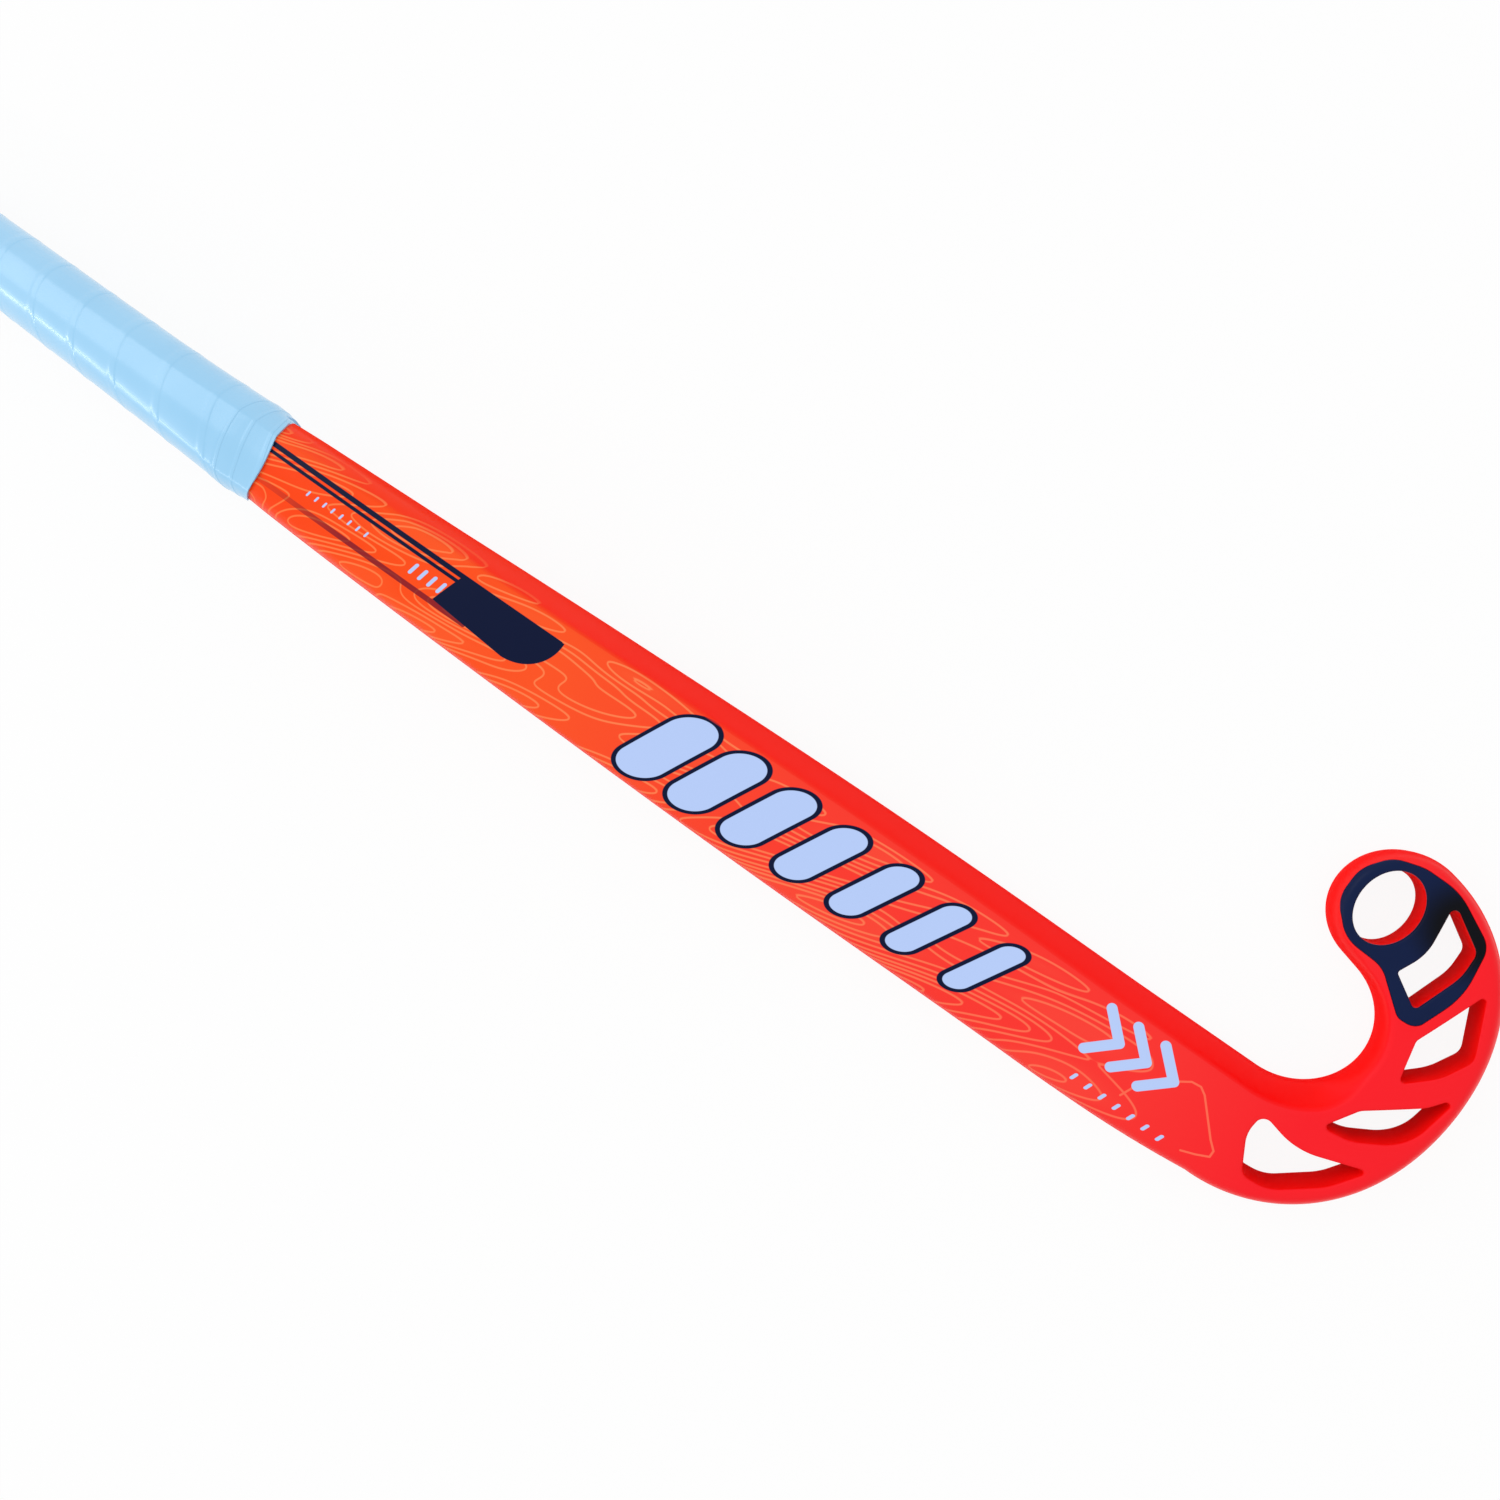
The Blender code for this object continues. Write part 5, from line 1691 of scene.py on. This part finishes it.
def lacquer_material(name, printed):
    material, tree, shader, place = new_material(name, SATIN, Specular_IOR_Level=0.08)
    spot = add(tree, "ShaderNodeSeparateXYZ", {0: place}).outputs
    back_colour = gradient(tree, spot["X"], BACK_COLOURS)
    bevel_and_shade_colour = gradient(tree, spot["X"], BEVEL_AND_SHADE_COLOURS)
    attribute = add(tree, "ShaderNodeAttribute", attribute_name="bevel", attribute_type="GEOMETRY")
    bevel = attribute.outputs["Fac"]
    geometry = add(tree, "ShaderNodeNewGeometry").outputs
    facing = add(tree, "ShaderNodeSeparateXYZ", {0: geometry["Normal"]}).outputs["Z"]
    # Painted shade: walls and rounded edges that turn away from above take the deeper red, like the bevel
    wall = ramp(tree, facing, 0.2, 0.85, 1.0, 0.0)
    shade = blend_colour(tree, calc(tree, "MAXIMUM", bevel, wall), back_colour, bevel_and_shade_colour)
    if printed:
        upward = ramp(tree, facing, 0.35, 0.7)
        back = calc(tree, "MULTIPLY", upward, calc(tree, "SUBTRACT", 1.0, bevel))
        bare_bevel = calc(tree, "MULTIPLY", bevel, ramp(tree, spot["X"], *BARE_BEVEL))
        lined = calc(tree, "MULTIPLY", upward, calc(tree, "SUBTRACT", 1.0, bare_bevel))
        shade = add_lines(tree, place, spot, lined, shade)
        shade = add_prints(tree, place, spot, back, shade)
    texture = use_group(tree, SURFACE_TEXTURE, {"Vector": place, "Grain Share": 0.12, "Scratch Share": 0.15})
    tree.links.new(shade, shader.inputs["Base Color"])
    satin = calc(tree, "MULTIPLY_ADD", texture["Wear"], 0.5, SATIN)
    rough = ramp(tree, facing, 0.1, 0.7, ROUGH_WALL, 0.0)
    tree.links.new(calc(tree, "MAXIMUM", satin, rough), shader.inputs["Roughness"])
    bump(tree, shader, texture["Height"], strength=0.25, distance=0.0006)
    return material


lacquer = lacquer_material("lacquer", printed=True)
plain_lacquer = lacquer_material("plain_lacquer", printed=False)
print("nodes in the lacquer:", len(lacquer.node_tree.nodes))

# %% [markdown]
# The toe plate is satin navy plastic, a little uneven in tone. Near the rim, where its two openings come
# close together, a painted shade turns it almost black. One flat colour would look like a hole in the red,
# so a slow noise mottles it, and a painted shade darkens it by the distance from one spot.

# %% Navy plate
NAVY_SATIN = 0.32
PAINTED_SHADE_SPOT = (0.8945, 0.0995)
PAINTED_SHADE_REACH = (0.008, 0.020)


def navy_material():
    material, tree, shader, place = new_material("navy_plate", NAVY_SATIN, Specular_IOR_Level=0.10)
    texture = use_group(tree, SURFACE_TEXTURE, {"Vector": place, "Grain Share": 0.15, "Scratch Share": 0.2})
    spot = add(tree, "ShaderNodeSeparateXYZ", {0: place}).outputs
    mottled = blend_colour(tree, noise_at(tree, place, scale=45.0, detail=2.0), (6, 22, 60), (10, 30, 70))
    # Painted shade: the plate darkens to near black round one spot by the rim
    from_spot = [calc(tree, "SUBTRACT", spot[axis], middle) for axis, middle in zip("XY", PAINTED_SHADE_SPOT)]
    dark = ramp(tree, root_of_squares(tree, *from_spot), *PAINTED_SHADE_REACH, 1.0, 0.0)
    tree.links.new(blend_colour(tree, dark, mottled, (0, 2, 10)), shader.inputs["Base Color"])
    satin = calc(tree, "MULTIPLY_ADD", texture["Wear"], 0.5, NAVY_SATIN)
    tree.links.new(satin, shader.inputs["Roughness"])
    bump(tree, shader, texture["Height"], strength=0.25, distance=0.0006)
    return material


navy_plate = navy_material()
print("nodes in the navy plate:", len(navy_plate.node_tree.nodes))

# %% [markdown]
# Grip tape is smooth, slightly tacky polyurethane. Its shine is soft with a thin sharper skin on top, so
# the shader has a middling roughness and a thin coat. A rubber with no coat would lose the streak along
# the grip.

# %% Grip tape
TAPE_SHINE = 0.24


def tape_material(name, shade_low, shade_high):
    material, tree, shader, place = new_material(name, TAPE_SHINE, Specular_IOR_Level=0.3, Coat_Weight=0.3,
                                                 Coat_Roughness=0.16)
    texture = use_group(tree, SURFACE_TEXTURE, {"Vector": place, "Wave Scale": 140.0, "Grain Scale": 1800.0,
                                                "Grain Share": 0.2, "Scratch Share": 0.0})
    shade = blend_colour(tree, noise_at(tree, place, scale=35.0, detail=3.0), shade_low, shade_high)
    tree.links.new(shade, shader.inputs["Base Color"])
    shine = calc(tree, "MULTIPLY_ADD", texture["Wear"], 0.6, TAPE_SHINE)
    tree.links.new(shine, shader.inputs["Roughness"])
    bump(tree, shader, texture["Height"], strength=0.12, distance=0.0006)
    return material


wrap_material = tape_material("wrap_blue", (146, 203, 240), (160, 213, 247))
print("nodes in the grip tape:", len(wrap_material.node_tree.nodes))

# %% [markdown]
# The rest is foam, moulded plastic and bare laminate, most of it inside the stick. Each kind is one
# function that takes its colours and its scale, so a soft foam and a stiff one differ only in what they
# are given.

# %% Foam, moulded plastic and laminate
THREAD_TURN = 0.785
THREAD_SCALE = 500.0


def foam_material(name, shade_low, shade_high, cells):
    material, tree, shader, place = new_material(name, 0.9)
    foam = use_group(tree, FOAM_CELLS, {"Vector": place, "Cells per Metre": cells})
    tree.links.new(blend_colour(tree, foam["Mottle"], shade_low, shade_high), shader.inputs["Base Color"])
    bump(tree, shader, foam["Height"], strength=0.6, distance=0.0005)
    return material


def moulded_material(name, shade_low, shade_high, roughness, grain):
    material, tree, shader, place = new_material(name, roughness)
    texture = use_group(tree, SURFACE_TEXTURE, {"Vector": place, "Grain Scale": grain, "Grain Share": 0.8,
                                                "Scratch Share": 0.4})
    mottled = blend_colour(tree, noise_at(tree, place, scale=80.0, detail=3.0), shade_low, shade_high)
    tree.links.new(mottled, shader.inputs["Base Color"])
    tree.links.new(calc(tree, "MULTIPLY_ADD", texture["Wear"], 0.4, roughness), shader.inputs["Roughness"])
    bump(tree, shader, texture["Height"], strength=0.5, distance=0.0004)
    return material


def laminate_material():
    """Bare glass and resin: fine threads that cross, just visible under a satin resin."""
    material, tree, shader, place = new_material("rib_laminate", 0.55)
    waves = []
    for angle in (THREAD_TURN, -THREAD_TURN):
        turn = {"Vector": place, "Angle": angle}
        turned = add(tree, "ShaderNodeVectorRotate", turn, rotation_type="Y_AXIS")
        wave = {"Vector": turned.outputs[0], "Scale": THREAD_SCALE, "Distortion": 0.6}
        waves.append(add(tree, "ShaderNodeTexWave", wave).outputs["Fac"])
    weave = calc(tree, "MAXIMUM", *waves)
    tree.links.new(blend_colour(tree, weave, (52, 52, 55), (92, 90, 88)), shader.inputs["Base Color"])
    bump(tree, shader, weave, strength=0.4, distance=0.0003)
    return material


cushion_foam = foam_material("cushion_foam", (48, 48, 50), (62, 62, 64), cells=1500.0)
cap_rubber = moulded_material("cap_rubber", (28, 28, 30), (40, 40, 42), roughness=0.55, grain=1800.0)
print("nodes in the foam:", len(cushion_foam.node_tree.nodes))

# %% [markdown]
# Now the moulding is made and dressed. Its material has to know where the bevel is. That could be guessed
# from which way a face points, but the crowned back points the same way near the bevel, so each vertex
# carries the answer as a named attribute.

# %% Make the moulding
shell_bm = bmesh.new()
build_moulding(shell_bm)
moulding = piece("moulding", shell_bm, lacquer)
bevel_share = moulding.data.attributes.new("bevel", "FLOAT", "POINT")


def bevel_at(point):
    """How far a point of the moulding lies on its bevel: 1 on it, 0 on the back."""
    spot = point - BUTT
    if spot.x < HEAD_START:
        across = along(SHAFT_WIDTH, spot.x) / 2 - spot.y
        facet = FACET
        flatness = ease((spot.x - OVAL_UNTIL) / (FLAT_FROM - OVAL_UNTIL))
    else:
        across, _, _, facet, straight = section_at(spot.xy)
        flatness = min(straight / FACET_STRAIGHT, 1.0)
    return flatness * (1 - ease((across - facet + FACET_EASE / 2) / FACET_EASE))


shares = [bevel_at(vertex.co) for vertex in moulding.data.vertices]
bevel_share.data.foreach_set("value", shares)
print("points on the bevel:", sum(share > 0.5 for share in shares), "of", len(shares))
dress(moulding, "red_lacquer", "stick_shell")

# %% [markdown]
# The toe plate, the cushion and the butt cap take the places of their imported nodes. The plate has two
# materials, because the walls of its openings are red. A second object for those walls would leave a seam
# along the lip.

# %% Make the plate, the cushion and the cap
plate_bm = bmesh.new()
build_plate(plate_bm)
toe_plate = piece("toe_plate", plate_bm, navy_plate, plain_lacquer)
dress(toe_plate, "navy_plate", "toe_inlay")

cushion_bm = bmesh.new()
build_cushion(cushion_bm)
cushion = piece("cushion_strip", cushion_bm, cushion_foam)
dress(cushion, "cushion_foam", "grip_underlay")

cap_bm = bmesh.new()
build_cap(cap_bm)
cap = piece("end_cap", cap_bm, cap_rubber)
dress(cap, "cap_rubber", "butt_cap")

# %% [markdown]
# The grip is wound over the cushion in wide turns with low laps. The finishing tape is the same tape,
# wound much closer. It was stretched over the taper by hand, so its end isn't square: it reaches on over
# the back and draws back at the sides.

# %% Wind the grip and the finishing tape
BAND_PITCH = 0.009
TAPE_LEAN = 0.0042
TAPE_SLANT = 0.0005
TAPE_DRAW = 0.0080


def wrap_core(x):
    """How far over the moulding the grip is wound."""
    return underlay_top(x) + CLEARANCE


wrap_sizes = {"Pitch": WRAP_PITCH, "Thickness": WRAP_THICKNESS, "Lap Rise": 0.00016, "Edge Share": 0.045,
              "Ripple": 0.00008, "Ripple Scale": 45.0}
wound_grip = wind("wound_grip", wrap_material, wrap_core, SHELL_START, WRAP_END, **wrap_sizes)
dress(wound_grip, "wrap_blue", "grip_wrap")
band_start = WRAP_END + CLEARANCE


def band_core(x):
    """The finishing tape's taper, from the top of the wound grip down to the bare shaft."""
    t = clamp01((x - band_start) / (GRIP_LENGTH - band_start))
    thick = UNDERLAY_TOP + CLEARANCE + WRAP_THICKNESS + WRAP_LAP / 2
    return mix(thick, CLEARANCE + TAPE_THICKNESS, ease(t) * 0.5 + t * 0.5) - TAPE_THICKNESS / 2


band_sizes = {"Pitch": BAND_PITCH, "Thickness": TAPE_THICKNESS / 2, "Lap Rise": 0.00012, "Ripple": 0.0002,
              "Ripple Scale": 90.0}
band = wind("finishing_band", wrap_material, band_core, band_start, GRIP_LENGTH, TAPE_LEAN, TAPE_SLANT,
            TAPE_DRAW, **band_sizes)
dress(band, "tape_blue", "finishing_tape")

# %% [markdown]
# Four pieces lie inside and are right as they were imported: the insert, the core, the rib and the plug.
# Drawing them again would add nothing, so they keep their meshes and only get a finish.

# %% Finish the inner pieces
STIFF_CELLS = 900.0

for node_name, material in (
    ("handle_insert", foam_material("handle_foam", (222, 208, 170), (236, 224, 190), cells=STIFF_CELLS)),
    ("heel_core", foam_material("core_foam", (226, 214, 176), (240, 230, 198), cells=STIFF_CELLS)),
    ("shaft_rib", laminate_material()),
    ("butt_plug", moulded_material("plug_plastic", (34, 34, 37), (46, 46, 50), roughness=0.5, grain=1200.0)),
):
    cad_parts[node_name].material_slots[0].material = material
    print(node_name, "gets", material.name)
